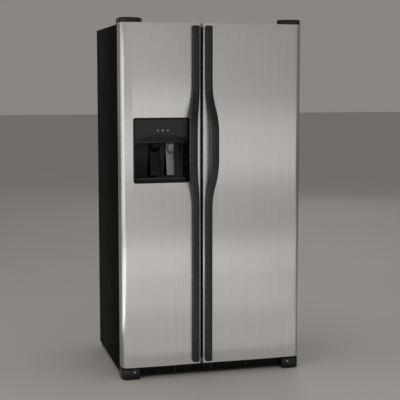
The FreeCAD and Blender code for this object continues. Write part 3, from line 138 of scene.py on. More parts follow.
def roundedRect(across, up, radius, steps=6):
    (left, right), (low, high) = across, up
    centres = ((left + radius, low + radius), (right - radius, low + radius),
               (right - radius, high - radius), (left + radius, high - radius))
    return [point for centre, start in zip(centres, (180, 270, 0, 90))
            for point in corner(centre, radius, start, start + 90, steps)]


def roundover(radius, steps=4):
    # (inset, depth) pairs that go from a face round to a side
    angles = [math.pi / 2 * i / steps for i in range(steps + 1)]
    return [(radius * (1 - math.sin(a)), radius * (1 - math.cos(a))) for a in angles]


def circle(x, z, radius, steps):
    angles = [2 * math.pi * i / steps for i in range(steps)]
    return [(x + radius * math.cos(a), z + radius * math.sin(a)) for a in angles]


def squircle(angle, power, half, deep):
    # a point on a superellipse, which is a bar's rounded-square section
    c, t = math.cos(angle), math.sin(angle)
    return (math.copysign(abs(c) ** (2 / power), c) * half, math.copysign(abs(t) ** (2 / power), t) * deep)


def layers(low, high, edge):
    # (inset, place) pairs from one end to the other, both ends rounded over
    if not edge:
        return [(0, low), (0, high)]
    start = [(inset, low + depth) for inset, depth in roundover(edge)]
    return start + [(inset, high - depth) for inset, depth in reversed(roundover(edge))]


def axes(axis):
    # two across a section, then the one that it runs along
    return {"x": (1, 2, 0), "y": (0, 2, 1), "z": (0, 1, 2)}[axis]


def turned(order, pairs, along):
    ring = []
    for a, b in pairs:
        point = [0, 0, 0]
        point[order[0]], point[order[1]], point[order[2]] = a, b, along
        ring.append(point)
    return ring


def block(name, low, high, radius=0.0, edge=0.0, axis="y", material=None, steps=6):
    # rounded-corner block along an axis, its first and last edges rounded over
    order = axes(axis)
    u, v, w = order
    rings = []
    for inset, place in layers(low[w], high[w], edge):
        outline = roundedRect((low[u] + inset, high[u] - inset), (low[v] + inset, high[v] - inset),
                              max(radius - inset, 1e-5), steps)
        rings.append(turned(order, outline, place))
    return loft(name, rings, material)


def rod(name, start, length, radius, axis="y", steps=32, edge=0.0):
    order = axes(axis)
    u, v, w = order
    rings = []
    for inset, along in layers(0, length, edge):
        outline = corner((start[u], start[v]), radius - inset, 0, 360 - 360 / steps, steps - 1)
        rings.append(turned(order, outline, start[w] + along))
    return loft(name, rings)


def joined(name, pieces, crease=35):
    # separate closed shells in one piece, each with its own finish
    shape = bmesh.new()
    finishes = []
    for piece in pieces:
        count = len(shape.faces)
        shape.from_mesh(piece.data)
        shape.faces.ensure_lookup_table()
        material = piece.data.materials[0] if piece.data.materials else finishes[0]
        if material not in finishes:
            finishes.append(material)
        for face in shape.faces[count:]:
            face.material_index = finishes.index(material)
    mesh = bpy.data.meshes.new(name)
    shape.to_mesh(mesh)
    shape.free()
    for material in finishes:
        mesh.materials.append(material)
    result = bpy.data.objects.new(name, mesh)
    bpy.context.scene.collection.objects.link(result)
    smooth(mesh, crease)
    for piece in pieces:
        bpy.data.objects.remove(piece)
    return result


def rowOf(name, unit, count, start, step, turn=(0.0, 0.0, 0.0)):
    # Geometry Nodes set one unit down again and again along a line
    tree = bpy.data.node_groups.new(name + "Row", "GeometryNodeTree")
    tree.interface.new_socket("Geometry", in_out="OUTPUT", socket_type="NodeSocketGeometry")
    kinds = {"Unit": "Object", "Count": "Int", "Start": "Vector", "Step": "Vector", "Turn": "Vector",
             "Finish": "Material"}
    sockets = {label: tree.interface.new_socket(label, in_out="INPUT", socket_type="NodeSocket" + kind)
               for label, kind in kinds.items()}
    enter = addNode(tree, "NodeGroupInput")
    line = addNode(tree, "GeometryNodeMeshLine", {"mode": "OFFSET"}, {
        "Count": enter.outputs["Count"], "Start Location": enter.outputs["Start"],
        "Offset": enter.outputs["Step"]})
    info = addNode(tree, "GeometryNodeObjectInfo", None, {"Object": enter.outputs["Unit"]})
    copies = addNode(tree, "GeometryNodeInstanceOnPoints", None, {
        "Points": line.outputs["Mesh"], "Instance": info.outputs["Geometry"],
        "Rotation": enter.outputs["Turn"]})
    real = addNode(tree, "GeometryNodeRealizeInstances", None, {"Geometry": copies.outputs["Instances"]})
    painted = addNode(tree, "GeometryNodeSetMaterial", None, {
        "Geometry": real.outputs["Geometry"], "Material": enter.outputs["Finish"]})
    addNode(tree, "NodeGroupOutput", None, {"Geometry": painted.outputs["Geometry"]})
    host = bpy.data.objects.new(name, bpy.data.meshes.new(name))
    bpy.context.scene.collection.objects.link(host)
    change = host.modifiers.new("row", "NODES")
    change.node_group = tree
    values = {"Unit": unit, "Count": count, "Start": start, "Step": step, "Turn": turn,
              "Finish": unit.data.materials[0]}
    for label, value in values.items():
        change[sockets[label].identifier] = value
    settle(host)
    return host


def eased(node, width, crease=30):
    # a copy of a CAD part with its edges rounded over by a width in millimetres
    mesh = nodes[node].data.copy()
    mesh.transform(nodes[node].matrix_world)
    shape = bmesh.new()
    shape.from_mesh(mesh)
    bmesh.ops.remove_doubles(shape, verts=shape.verts, dist=2e-6)
    bmesh.ops.dissolve_limit(shape, angle_limit=math.radians(1), verts=shape.verts, edges=shape.edges)
    shape.to_mesh(mesh)
    shape.free()
    words = node.split("_")
    piece = bpy.data.objects.new(words[0] + "".join(word.capitalize() for word in words[1:]), mesh)
    bpy.context.scene.collection.objects.link(piece)
    mesh.materials.clear()
    mesh.materials.append(looks[slotOf[node]])
    change = piece.modifiers.new("edges", "BEVEL")
    change.width = width * mm
    change.segments = 2
    change.limit_method = "ANGLE"
    change.angle_limit = math.radians(crease)
    settle(piece, 40)
    return fit(piece, ownerOf[node], slotOf[node], node)


def finish(name, base, roughness, metallic=0.0, **more):
    material = bpy.data.materials.new(name)
    material.use_nodes = True
    tree = material.node_tree
    shader = tree.nodes["Principled BSDF"]
    shader.inputs["Base Color"].default_value = linear(base)
    shader.inputs["Roughness"].default_value = roughness
    shader.inputs["Metallic"].default_value = metallic
    for socket, value in more.items():
        shader.inputs[socket.replace("_", " ")].default_value = value
    material.diffuse_color = linear(base)
    return material, tree, shader


def pattern(tree, sizes, detail=2.0, kind="ShaderNodeTexNoise", seedShift=(0.0, 0.0, 0.0)):
    # noise whose cells measure the given millimetres along x, y and z
    place = addNode(tree, "ShaderNodeTexCoord")
    stretch = addNode(tree, "ShaderNodeMapping", None, {
        "Vector": place.outputs["Object"], "Location": seedShift,
        "Scale": tuple(1 / (size * mm) for size in sizes)})
    inputs = {"Vector": stretch.outputs["Vector"], "Scale": 1.0}
    if kind == "ShaderNodeTexNoise":
        inputs["Detail"] = detail
    return addNode(tree, kind, None, inputs)


def drive(tree, shader, socket, source, low, high):
    # a pattern moves one of the shader's numbers between two values
    spread = addNode(tree, "ShaderNodeMapRange", None, {
        "Value": source, "From Min": 0.3, "From Max": 0.7, "To Min": low, "To Max": high})
    tree.links.new(spread.outputs["Result"], shader.inputs[socket])


def tint(tree, shader, source, dark, light):
    blend = addNode(tree, "ShaderNodeMix", {"data_type": "RGBA"}, {
        "Factor": source, 6: linear(dark), 7: linear(light)})
    tree.links.new(blend.outputs[2], shader.inputs["Base Color"])


def relief(tree, shader, source, depth, strength=1.0):
    # depth in millimetres
    bump = addNode(tree, "ShaderNodeBump", None, {
        "Height": source, "Distance": depth * mm, "Strength": strength})
    tree.links.new(bump.outputs["Normal"], shader.inputs["Normal"])


def brushedStainless():
    # 430 stainless sheet, belt brushed up and down: highlights smear sideways, faint upright streaks
    # real lines are near 0.2 mm, too fine to show
    line, lineRun, streak, streakRun = 0.9, 140, 9, 900
    material, tree, shader = finish("brushedStainlessSheet", "#b9b8b6", 0.24, 1.0, Anisotropic=0.75)
    lines = pattern(tree, (line, line, lineRun), 3)
    streaks = pattern(tree, (streak, streak, streakRun), 2, seedShift=(3.1, 7.7, 1.3))
    drive(tree, shader, "Roughness", lines.outputs["Fac"], 0.21, 0.27)
    tint(tree, shader, streaks.outputs["Fac"], "#b3b1af", "#c1c0be")
    relief(tree, shader, lines.outputs["Fac"], 0.004, 0.25)
    turn = addNode(tree, "ShaderNodeTangent", {"direction_type": "RADIAL", "axis": "Z"})
    tree.links.new(turn.outputs["Tangent"], shader.inputs["Tangent"])
    return material


def powderPaint():
    # black polyester powder paint on the case: a fine pebble that scatters highlights
    material, tree, shader = finish("blackPowderPaint", "#070808", 0.6, 0.0, Specular_IOR_Level=0.03)
    pebble = pattern(tree, (1.6, 1.6, 1.6), 2)
    wear = pattern(tree, (160, 160, 220), 3, seedShift=(5.0, 2.0, 8.0))
    drive(tree, shader, "Roughness", wear.outputs["Fac"], 0.56, 0.66)
    tint(tree, shader, wear.outputs["Fac"], "#050606", "#090a0a")
    relief(tree, shader, pebble.outputs["Fac"], 0.05, 0.5)
    return material


def mouldedPlastic(name, dark, light, roughness, grain, depth, **more):
    # injection moulded part: spark-eroded tool grain and slight gloss drift from the melt flow
    material, tree, shader = finish(name, light, roughness, 0.0, **more)
    grit = pattern(tree, (grain, grain, grain), 2)
    flow = pattern(tree, (40, 40, 90), 2, seedShift=(1.0, 4.0, 2.0))
    drive(tree, shader, "Roughness", flow.outputs["Fac"], roughness - 0.03, roughness + 0.04)
    tint(tree, shader, flow.outputs["Fac"], dark, light)
    relief(tree, shader, grit.outputs["Fac"], depth, 0.4)
    return material


def galvanisedSteel():
    # hot dipped sheet: pale zinc crystals about a centimetre across, each with its own grey
    material, tree, shader = finish("galvanisedSteelSheet", "#9ea1a3", 0.45, 0.85)
    spangle = pattern(tree, (9, 9, 9), kind="ShaderNodeTexVoronoi")
    cloud = pattern(tree, (70, 70, 70), 3)
    drive(tree, shader, "Roughness", cloud.outputs["Fac"], 0.38, 0.55)
    tint(tree, shader, spangle.outputs["Color"], "#8f9294", "#b2b5b7")
    return material


def zincPlated():
    # bright zinc on turned and pressed steel
    material, tree, shader = finish("zincPlatedSteel", "#b6b8b9", 0.32, 1.0)
    cloud = pattern(tree, (6, 6, 6), 3)
    drive(tree, shader, "Roughness", cloud.outputs["Fac"], 0.25, 0.4)
    relief(tree, shader, cloud.outputs["Fac"], 0.02, 0.2)
    return material


def rolledAluminium():
    # mill finish fins and tube: soft grey lines along the rolling
    material, tree, shader = finish("rolledAluminium", "#c4c6c8", 0.35, 1.0)
    lines = pattern(tree, (0.8, 0.8, 30), 2)
    drive(tree, shader, "Roughness", lines.outputs["Fac"], 0.28, 0.45)
    relief(tree, shader, lines.outputs["Fac"], 0.01, 0.2)
    return material


def polyurethaneFoam():
    # rigid foam poured in place: buff, matt, with small open cells
    material, tree, shader = finish("polyurethaneFoam", "#e2d6ac", 0.9)
    cells = pattern(tree, (2.2, 2.2, 2.2), kind="ShaderNodeTexVoronoi")
    tint(tree, shader, cells.outputs["Distance"], "#cdbf90", "#eadfb8")
    relief(tree, shader, cells.outputs["Distance"], 0.3, 0.6)
    return material


def clearStyrene(name, light, roughness, index):
    # clear moulded polystyrene: glossy, with a faint sink pattern
    material, tree, shader = finish(name, light, roughness, 0.0, Transmission_Weight=0.92, IOR=index)
    ripple = pattern(tree, (22, 22, 22), 2)
    drive(tree, shader, "Roughness", ripple.outputs["Fac"], roughness, roughness + 0.06)
    relief(tree, shader, ripple.outputs["Fac"], 0.05, 0.15)
    return material


def temperedGlass():
    # 4 mm float glass, toughened: clear with a green cast
    material, tree, shader = finish("temperedGlass", "#dcebe6", 0.03, 0.0, Transmission_Weight=1.0, IOR=1.52)
    roller = pattern(tree, (260, 30, 30), 1)
    relief(tree, shader, roller.outputs["Fac"], 0.02, 0.1)
    return material


def doorRubber():
    # extruded magnetic PVC seal: matt charcoal with fine run lines
    material, tree, shader = finish("extrudedDoorSeal", "#1d1d1e", 0.62)
    lines = pattern(tree, (1.2, 1.2, 60), 2)
    drive(tree, shader, "Roughness", lines.outputs["Fac"], 0.55, 0.7)
    tint(tree, shader, lines.outputs["Fac"], "#171718", "#232324")
    relief(tree, shader, lines.outputs["Fac"], 0.05, 0.4)
    return material


looks = {
    "stainless": brushedStainless(),
    "case_paint": powderPaint(),
    "galvanised": galvanisedSteel(),
    "foam": polyurethaneFoam(),
    "liner_white": mouldedPlastic("vacuumFormedStyrene", "#e6e8e8", "#eff0f0", 0.24, 30, 0.12,
                                  Coat_Weight=0.15),
    "black_plastic": mouldedPlastic("satinBlackAbs", "#0e1011", "#131516", 0.33, 0.9, 0.02,
                                    Specular_IOR_Level=0.32),
    "dispenser_black": mouldedPlastic("glossBlackAbs", "#030304", "#050506", 0.16, 1.4, 0.01,
                                      Specular_IOR_Level=0.16),
    "panel_grey": mouldedPlastic("satinCharcoalAbs", "#0e1011", "#141617", 0.3, 1.1, 0.02,
                                 Specular_IOR_Level=0.32),
    "button_grey": mouldedPlastic("softTouchGrey", "#3a3d40", "#45484b", 0.5, 0.8, 0.03),
    "clear_grey": mouldedPlastic("smokedPolycarbonate", "#77777f", "#8f8f98", 0.16, 3, 0.02,
                                 Transmission_Weight=0.35, IOR=1.58, Coat_Weight=0.5),
    "gasket": doorRubber(),
    "clear_plastic": clearStyrene("clearPolystyrene", "#eef3f5", 0.06, 1.59),
    "glass": temperedGlass(),
    "white_plastic": mouldedPlastic("whitePolypropylene", "#dcdedd", "#e8eae9", 0.42, 1.2, 0.03),
    "steel": zincPlated(),
    "compressor_black": mouldedPlastic("dippedBlackEnamel", "#0d0e0f", "#141516", 0.28, 12, 0.15,
                                       Coat_Weight=0.3),
    "evaporator": rolledAluminium(),
    "grey_plastic": mouldedPlastic("glassFilledNylon", "#484a4c", "#555759", 0.55, 0.9, 0.05),
}
trayGrey = mouldedPlastic("satinGreyGrille", "#8d8d96", "#9c9ca5", 0.28, 1.0, 0.02, Coat_Weight=0.3)
markPrint = mouldedPlastic("padPrintedInk", "#75787a", "#84878a", 0.5, 1.0, 0.0)
print("finishes made:", len(looks) + 2)

doorSizes = {"outerRoll": 30 * mm, "seamRoll": 6 * mm, "bow": 3 * mm, "sheet": 1 * mm, "endEdge": 1.6 * mm,
             "pinAcross": 432 * mm, "pinLine": 25 * mm, "pinHole": 6.05 * mm, "pinDepth": 20 * mm}
doorSteps = {"outer": 16, "front": 28, "seam": 8}
doorHand = {"freezer": -1, "fridge": 1}


def doorOutline(low, high, hand, inset):
    # from the back outer corner round the bowed front to the back seam corner
    width = high.x - low.x
    outer, seam = doorSizes["outerRoll"], doorSizes["seamRoll"]
    middle, half = (outer + width - seam) / 2, (width - outer - seam) / 2
    bow = doorSizes["bow"]

    def front(w):
        return low.y + bow * ((w - middle) / half) ** 2 + inset
    tilt = math.atan(2 * bow / half)
    points = [(inset, high.y)]
    first = outer * (1 - math.sin(tilt))
    centre = front(first) + (outer - inset) * math.cos(tilt)
    for i in range(doorSteps["outer"] + 1):
        a = math.pi / 2 + (tilt - math.pi / 2) * i / doorSteps["outer"]
        points.append((outer - (outer - inset) * math.sin(a), centre - (outer - inset) * math.cos(a)))
    last = width - seam + seam * math.sin(tilt)
    stations = [first + (last - first) * i / doorSteps["front"] for i in range(1, doorSteps["front"])]
    points += [(w, front(w)) for w in stations]
    centre = front(last) + (seam - inset) * math.cos(tilt)
    for i in range(doorSteps["seam"] + 1):
        a = tilt + (math.pi / 2 - tilt) * i / doorSteps["seam"]
        points.append((width - seam + (seam - inset) * math.sin(a), centre - (seam - inset) * math.cos(a)))
    points.append((width - inset, high.y))
    return [(low.x + w if hand < 0 else high.x - w, y) for w, y in points]


def doorSolid(name, low, high, hand, inset, edge, reach):
    rings = []
    for extra, z in layers(low.z + inset, high.z - inset, edge):
        ring = doorOutline(low, Vector((high.x, high.y + reach, high.z)), hand, inset + extra)
        rings.append([(x, y, z) for x, y in ring])
    return loft(name, rings, looks["stainless"], 25)


panelBox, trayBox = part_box("dispenser_panel"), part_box("drip_tray")
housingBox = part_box("dispenser_housing")
rim = panelBox[0].x - housingBox[0].x
bezelSizes = {"behindTray": 26 * mm, "corner": 12 * mm, "pastBack": 9 * mm, "proud": 3 * mm}
bezelLow = housingBox[0].copy()
bezelHigh = Vector((housingBox[1].x, trayBox[1].y + bezelSizes["behindTray"], panelBox[1].z + rim))

for side, hand in doorHand.items():
    low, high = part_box(side + "_door_skin")
    skin = doorSolid(side + "DoorSkin", low, high, hand, 0.0, doorSizes["endEdge"], 0.0)
    tools = [doorSolid("hollow", low, high, hand, doorSizes["sheet"], 0.0, 2 * mm)]
    for z in (low.z - mm, high.z - doorSizes["pinDepth"]):
        tools.append(rod("pinHole", (hand * doorSizes["pinAcross"], low.y + doorSizes["pinLine"], z),
                         doorSizes["pinDepth"] + mm, doorSizes["pinHole"], "z"))
    if side == "freezer":
        tools.append(block("opening", bezelLow - Vector((0, mm, 0)),
                           bezelHigh + Vector((0, bezelSizes["pastBack"], 0)), bezelSizes["corner"]))
    carve(skin, tools, crease=25)
    fit(skin, side + "_door", "stainless", side + "_door_skin")
print("door skins made")

# full length bars that bow out and away from the seam
handleSizes = {"width": 35 * mm, "thick": 21 * mm, "out": 45 * mm, "lean": 21 * mm, "bowLow": 830 * mm,
               "bowHigh": 1450 * mm, "flat": 120 * mm, "square": 3.2, "endRound": 6 * mm, "endReach": 60 * mm}
handleSteps = {"curve": 14, "round": 40, "end": 5}


def handlePath(low, high):
    # (offset, height, tilt) down the middle of the bar
    s = handleSizes
    out = math.hypot(s["out"], s["lean"])
    rise = (s["bowHigh"] - s["bowLow"] - s["flat"]) / 4
    radius = (rise ** 2 + (out / 2) ** 2) / out
    sweep = math.asin(rise / radius)
    path = []
    steps = handleSteps["curve"]
    for i in range(steps + 1):
        a = sweep * i / steps
        path.append((radius * (1 - math.cos(a)), s["bowLow"] + radius * math.sin(a), a))
    for i in range(1, steps + 1):
        a = sweep * (1 - i / steps)
        path.append((out - radius * (1 - math.cos(a)), s["bowLow"] + 2 * rise - radius * math.sin(a), a))
    middle = s["bowLow"] + s["bowHigh"]
    path += [(offset, middle - z, -a) for offset, z, a in reversed(path)]
    ends = roundover(s["endRound"], handleSteps["end"])
    start = [(0, low + d, 0, i) for i, d in ends] + [(0, low + s["endReach"], 0, 0)]
    end = [(0, high - s["endReach"], 0, 0)] + [(0, high - d, 0, i) for i, d in reversed(ends)]
    return start + [(*p, 0) for p in path] + end


def handleBar(name, low, high, hand):
    s = handleSizes
    seamSide = high.x if hand < 0 else low.x
    middle = seamSide + hand * s["width"] / 2
    outward = Vector((hand * s["lean"], -s["out"], 0)).normalized()
    sideways = Vector((-outward.y, outward.x, 0))
    rings = []
    for offset, z, tilt, inset in handlePath(low.z, high.z):
        centre = Vector((middle, high.y - s["thick"] / 2, z)) + outward * offset
        leaning = outward * math.cos(tilt) - Vector((0, 0, 1)) * math.sin(tilt)
        ring = []
        for i in range(handleSteps["round"]):
            x, y = squircle(2 * math.pi * i / handleSteps["round"], s["square"], s["width"] / 2 - inset,
                            s["thick"] / 2 - inset)
            spot = Vector((x, y, 0))
            ring.append(centre + leaning * spot.dot(outward) + sideways * spot.dot(sideways))
        rings.append(ring)
    return loft(name, rings, looks["black_plastic"], 60)


for side, hand in doorHand.items():
    low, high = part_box(side + "_handle")
    bar = handleBar(side + "Handle", low, high, hand)
    fit(bar, side + "_door", "black_plastic", side + "_handle")
print("handles made")

# ice and water recess
# the fillet is (inset, distance ahead of the back) round the recess's back edge, in millimetres
recess = {"back": housingBox[0].y + 91 * mm, "wall": 2.5 * mm, "corner": 11 * mm, "frontEdge": 3 * mm,
          "lipFlare": 3.5 * mm, "mouth": 4 * mm, "mouthCorner": 2 * mm, "seat": 5 * mm, "seatCorner": 3 * mm,
          "pitSide": 5 * mm, "pitFloor": 4 * mm, "pitBack": 34 * mm, "pitCorner": 4 * mm, "roundSteps": 8,
          "fillet": ((0, 9), (1, 4), (3.5, 1), (9, 0))}
duct = {"front": 41 * mm, "back": 66 * mm, "straight": 60 * mm, "lead": 90 * mm, "climb": 25 * mm,
        "mouthLow": 3 * mm, "mouthHigh": 67 * mm, "half": 32 * mm, "wall": 3 * mm, "past": 5 * mm}
ears = {"gap": 0.5 * mm, "inward": 3.5 * mm, "half": 5 * mm, "corner": 2 * mm, "bore": 2.55 * mm,
        "past": 2 * mm, "boreSteps": 20}
nozzle = {"back": 51 * mm, "drop": 14 * mm, "long": 15 * mm, "radius": 4 * mm, "steps": 24}
paddleBox = {name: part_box(name) for name in ("ice_paddle", "water_paddle")}
visorFloor, panelTop = panelBox[0].z, panelBox[1].z
rimLeft, rimRight = panelBox[0].x, panelBox[1].x
bezelFront = housingBox[0].y
doorFront = bezelFront + bezelSizes["proud"]
axle = {"back": 79 * mm, "drop": 8 * mm}  # the pins that both paddles hang from
pinY, pinZ = doorFront + axle["back"], visorFloor - axle["drop"]


def ductSolid(name, grow, reach):
    # slanted ice duct from the ice bin down to the recess ceiling
    z0, z1 = visorFloor, bezelHigh.z + duct["climb"]
    front, rear = doorFront + duct["front"] - grow, doorFront + duct["back"] + grow
    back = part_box("freezer_door_liner")[1].y + reach
    outline = [(front, z0 + mm - reach), (rear, z0 + mm - reach), (rear, z0 + duct["straight"] - grow),
               (back, z1 + duct["mouthLow"] - grow), (back, z1 + duct["mouthHigh"] + grow),
               (front, z0 + duct["lead"] + grow)]
    middle = (paddleBox["ice_paddle"][0].x + paddleBox["ice_paddle"][1].x) / 2
    half = duct["half"] + grow
    return loft(name, [[(middle + side * half, y, z) for y, z in outline] for side in (-1, 1)])


def bezelBody():
    steps = recess["roundSteps"]

    def level(across, up, radius, y):
        return [(x, y, z) for x, z in roundedRect(across, up, radius, steps)]
    front = [(inset, bezelFront + depth) for inset, depth in roundover(recess["frontEdge"], 5)]
    shape = [level((bezelLow.x + i, bezelHigh.x - i), (bezelLow.z + i, bezelHigh.z - i),
                   bezelSizes["corner"] - i, y) for i, y in front + [(0, recess["back"] + recess["wall"])]]
    body = loft("dispenserHousing", shape, looks["dispenser_black"])
    carve(body, [ductSolid("ductOuter", duct["wall"], 0.0)], "UNION")
    floor = trayBox[0].z
    cavity = [(0, bezelFront + recess["seat"] + recess["lipFlare"])]
    cavity += [(inset * mm, recess["back"] - ahead * mm) for inset, ahead in recess["fillet"]]
    hollow = [level((rimLeft, rimRight), (floor, visorFloor), recess["mouthCorner"],
                    bezelFront + recess["mouth"])]
    hollow += [level((rimLeft + i, rimRight - i), (floor, visorFloor - i), recess["corner"], y)
               for i, y in cavity]
    seat = block("seat", (rimLeft, bezelFront - mm, floor), (rimRight, bezelFront + recess["seat"], panelTop),
                 recess["seatCorner"])
    pit = block("pit", (rimLeft + recess["pitSide"], bezelFront, visorFloor + recess["pitFloor"]),
                (rimRight - recess["pitSide"], doorFront + recess["pitBack"], panelTop - recess["pitFloor"]),
                recess["pitCorner"])
    carve(body, [loft("hollow", hollow), seat, pit, ductSolid("ductInner", 0.0, duct["past"])])
    extras = []
    for low, high in paddleBox.values():
        for x0, x1 in ((low.x - ears["gap"], low.x + ears["inward"]),
                       (high.x - ears["inward"], high.x + ears["gap"])):
            extras.append(block("ear", (x0, pinY - ears["half"], pinZ - ears["half"]),
                                (x1, pinY + ears["half"], visorFloor + mm), ears["corner"], axis="x"))
    waterMiddle = (paddleBox["water_paddle"][0].x + paddleBox["water_paddle"][1].x) / 2
    extras.append(rod("nozzle", (waterMiddle, doorFront + nozzle["back"], visorFloor - nozzle["drop"]),
                      nozzle["long"], nozzle["radius"], "z", nozzle["steps"], mm))
    carve(body, extras, "UNION")
    bores = [rod("bore", (low.x - ears["past"], pinY, pinZ), high.x - low.x + 2 * ears["past"], ears["bore"],
                 "x", ears["boreSteps"]) for low, high in paddleBox.values()]
    return carve(body, bores)


fit(bezelBody(), "freezer_door", "dispenser_black", "dispenser_housing")
print("dispenser housing made")

# "crowd" draws the rows down to the lip, "roundness" and "swell" shape the bulge across and up
visor = {"bulge": 12 * mm, "lip": 36 * mm, "lipFoot": 4 * mm, "lipRound": 3 * mm, "across": 56, "up": 60,
         "crowd": 1.7, "roundness": 0.8, "swell": 1.6, "lipShare": 0.72, "face": 1 * mm, "back": 5 * mm,
         "holeAhead": 2 * mm, "holeDeep": 12 * mm, "holeGap": 0.4 * mm, "holeSteps": 48, "crease": 28}


def controlPanel():
    # flat at the top, with a curved crease and a forward bulge along the bottom
    face, back = bezelFront + visor["face"], bezelFront + visor["back"]
    count, rows = visor["across"], visor["up"]
    points, faces = [], []
    for j in range(rows + 1):
        t = (j / rows) ** visor["crowd"]
        z = visorFloor + (panelTop - visorFloor) * t
        for i in range(count + 1):
            u = i / count
            arch = max(1 - (2 * u - 1) ** 2, 0)
            crease = visorFloor + visor["lipFoot"] + (visor["lip"] - visor["lipFoot"]) * math.sqrt(arch)
            rise = min(max((crease - z) / (crease - visorFloor), 0), 1)
            lip = min((z - visorFloor) / visor["lipRound"], 1)
            swell = visor["bulge"] * arch ** visor["roundness"] * (1 - (1 - rise) ** visor["swell"])
            swell *= visor["lipShare"] + (1 - visor["lipShare"]) * math.sqrt(1 - (1 - lip) ** 2)
            points.append((rimLeft + (rimRight - rimLeft) * u, face - swell, z))
    row = count + 1
    for j in range(rows):
        for i in range(count):
            a = j * row + i
            faces.append((a, a + 1, a + 1 + row, a + row))
    loop = list(range(row)) + [j * row + count for j in range(1, rows + 1)]
    loop += [rows * row + i for i in range(count - 1, -1, -1)] + [j * row for j in range(rows - 1, 0, -1)]
    base = len(points)
    points += [(points[i][0], back, points[i][2]) for i in loop]
    n = len(loop)
    faces += [(loop[k], base + k, base + (k + 1) % n, loop[(k + 1) % n]) for k in range(n)]
    faces.append(tuple(range(base, base + n)))
    panel = mould("dispenserPanel", points, faces, looks["panel_grey"], visor["crease"])
    holes = []
    for name in ("water_button", "ice_button", "lock_button"):
        low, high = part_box(name)
        start = ((low.x + high.x) / 2, bezelFront - visor["holeAhead"], (low.z + high.z) / 2)
        holes.append(rod("hole", start, visor["holeDeep"], (high.x - low.x) / 2 + visor["holeGap"], "y",
                         visor["holeSteps"]))
    return carve(panel, holes, crease=visor["crease"])


fit(controlPanel(), "freezer_door", "panel_grey", "dispenser_panel")
print("control panel made")

# round push buttons, each with a small raised mark
buttonSizes = {"crown": 0.5 * mm, "edge": 0.8 * mm, "mark": 3.2 * mm, "raise": 0.25 * mm, "faceShare": 0.86,
               "lap": 0.4 * mm, "step": 0.2 * mm, "round": 40, "ringRound": 32, "ringHole": 0.68}


def buttonCap(name):
    low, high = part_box(name)
    radius = (high.x - low.x) / 2
    x, z = (low.x + high.x) / 2, (low.z + high.z) / 2
    s = buttonSizes
    face = radius * s["faceShare"]
    shoulder = low.y + s["raise"] + s["crown"]
    levels = [(face * share, low.y + s["raise"] + s["crown"] * share ** 2)
              for share in (0.02, 0.25, 0.5, 0.75)]
    levels.append((face, shoulder))
    levels += [(radius - s["lap"] - i, shoulder + s["step"] + d) for i, d in roundover(s["edge"])]
    levels += [(radius, high.y - mm), (radius, high.y)]
    rings = [[(a, y, b) for a, b in circle(x, z, r, s["round"])] for r, y in levels]
    cap = loft(name + "Cap", rings, looks["button_grey"], 50)
    marks = {"water_button": dropMark, "ice_button": cubeMark, "lock_button": ringMark}
    return joined(name + "Cap", [cap, marks[name](x, z, low.y, shoulder)], 50)


def plate(name, outline, y0, y1):
    return loft(name, [[(x, y, z) for x, z in outline] for y in (y0, y1)], markPrint, 60)


def dropMark(x, z, y0, y1):
    r = buttonSizes["mark"] * 0.72
    outline = corner((x, z - r * 0.4), r, 150, 390, 20) + [(x, z + r * 1.7)]
    return plate("mark", outline, y0, y1)


def cubeMark(x, z, y0, y1):
    r = buttonSizes["mark"]
    return plate("mark", corner((x, z), r, 30, 330, 5), y0, y1)


def ringMark(x, z, y0, y1):
    steps = buttonSizes["ringRound"]
    outer = circle(x, z, buttonSizes["mark"], steps)
    inner = circle(x, z, buttonSizes["mark"] * buttonSizes["ringHole"], steps)
    rings = [(outer, y0), (outer, y1), (inner, y1), (inner, y0)]
    points = [(a, y, b) for ring, y in rings for a, b in ring]
    faces = []
    for k in range(len(rings)):
        here, there = k * steps, (k + 1) % len(rings) * steps
        for i in range(steps):
            faces.append((here + i, here + (i + 1) % steps, there + (i + 1) % steps, there + i))
    return mould("mark", points, faces, markPrint, 60)


for name in ("water_button", "ice_button", "lock_button"):
    fit(buttonCap(name), name, "button_grey", name)
print("buttons made")

# levers that a glass pushes, with a scoop at the top
paddleSizes = {"thick": 5 * mm, "lean": 28 * mm, "hang": 155 * mm, "square": 4.5, "pin": 2.5 * mm,
               "sideGap": 4.5 * mm, "footRound": 2 * mm, "low": 40 * mm, "middle": 80 * mm, "cup": 1.2 * mm,
               "thinnest": 0.4 * mm, "round": 36, "pinGap": 0.1 * mm, "pinRound": 20}
scoopSizes = {"dish": 3 * mm, "rim": 2.4 * mm, "ahead": 10 * mm, "behind": 2 * mm, "topGap": 0.5 * mm,
              "sidePower": 0.8, "footPower": 0.62, "steps": 18}


def scoopOutline(middle, half, top, bottom, inset):
    # straight top, sides that close in to a rounded foot
    points = [(middle - half + inset, top - inset), (middle + half - inset, top - inset)]
    for i in range(1, scoopSizes["steps"]):
        a = math.pi * i / scoopSizes["steps"]
        side = math.copysign(abs(math.cos(a)) ** scoopSizes["sidePower"], math.cos(a))
        drop = math.sin(a) ** scoopSizes["footPower"]
        points.append((middle + (half - inset) * side, top - inset - (top - bottom - 2 * inset) * drop))
    return points


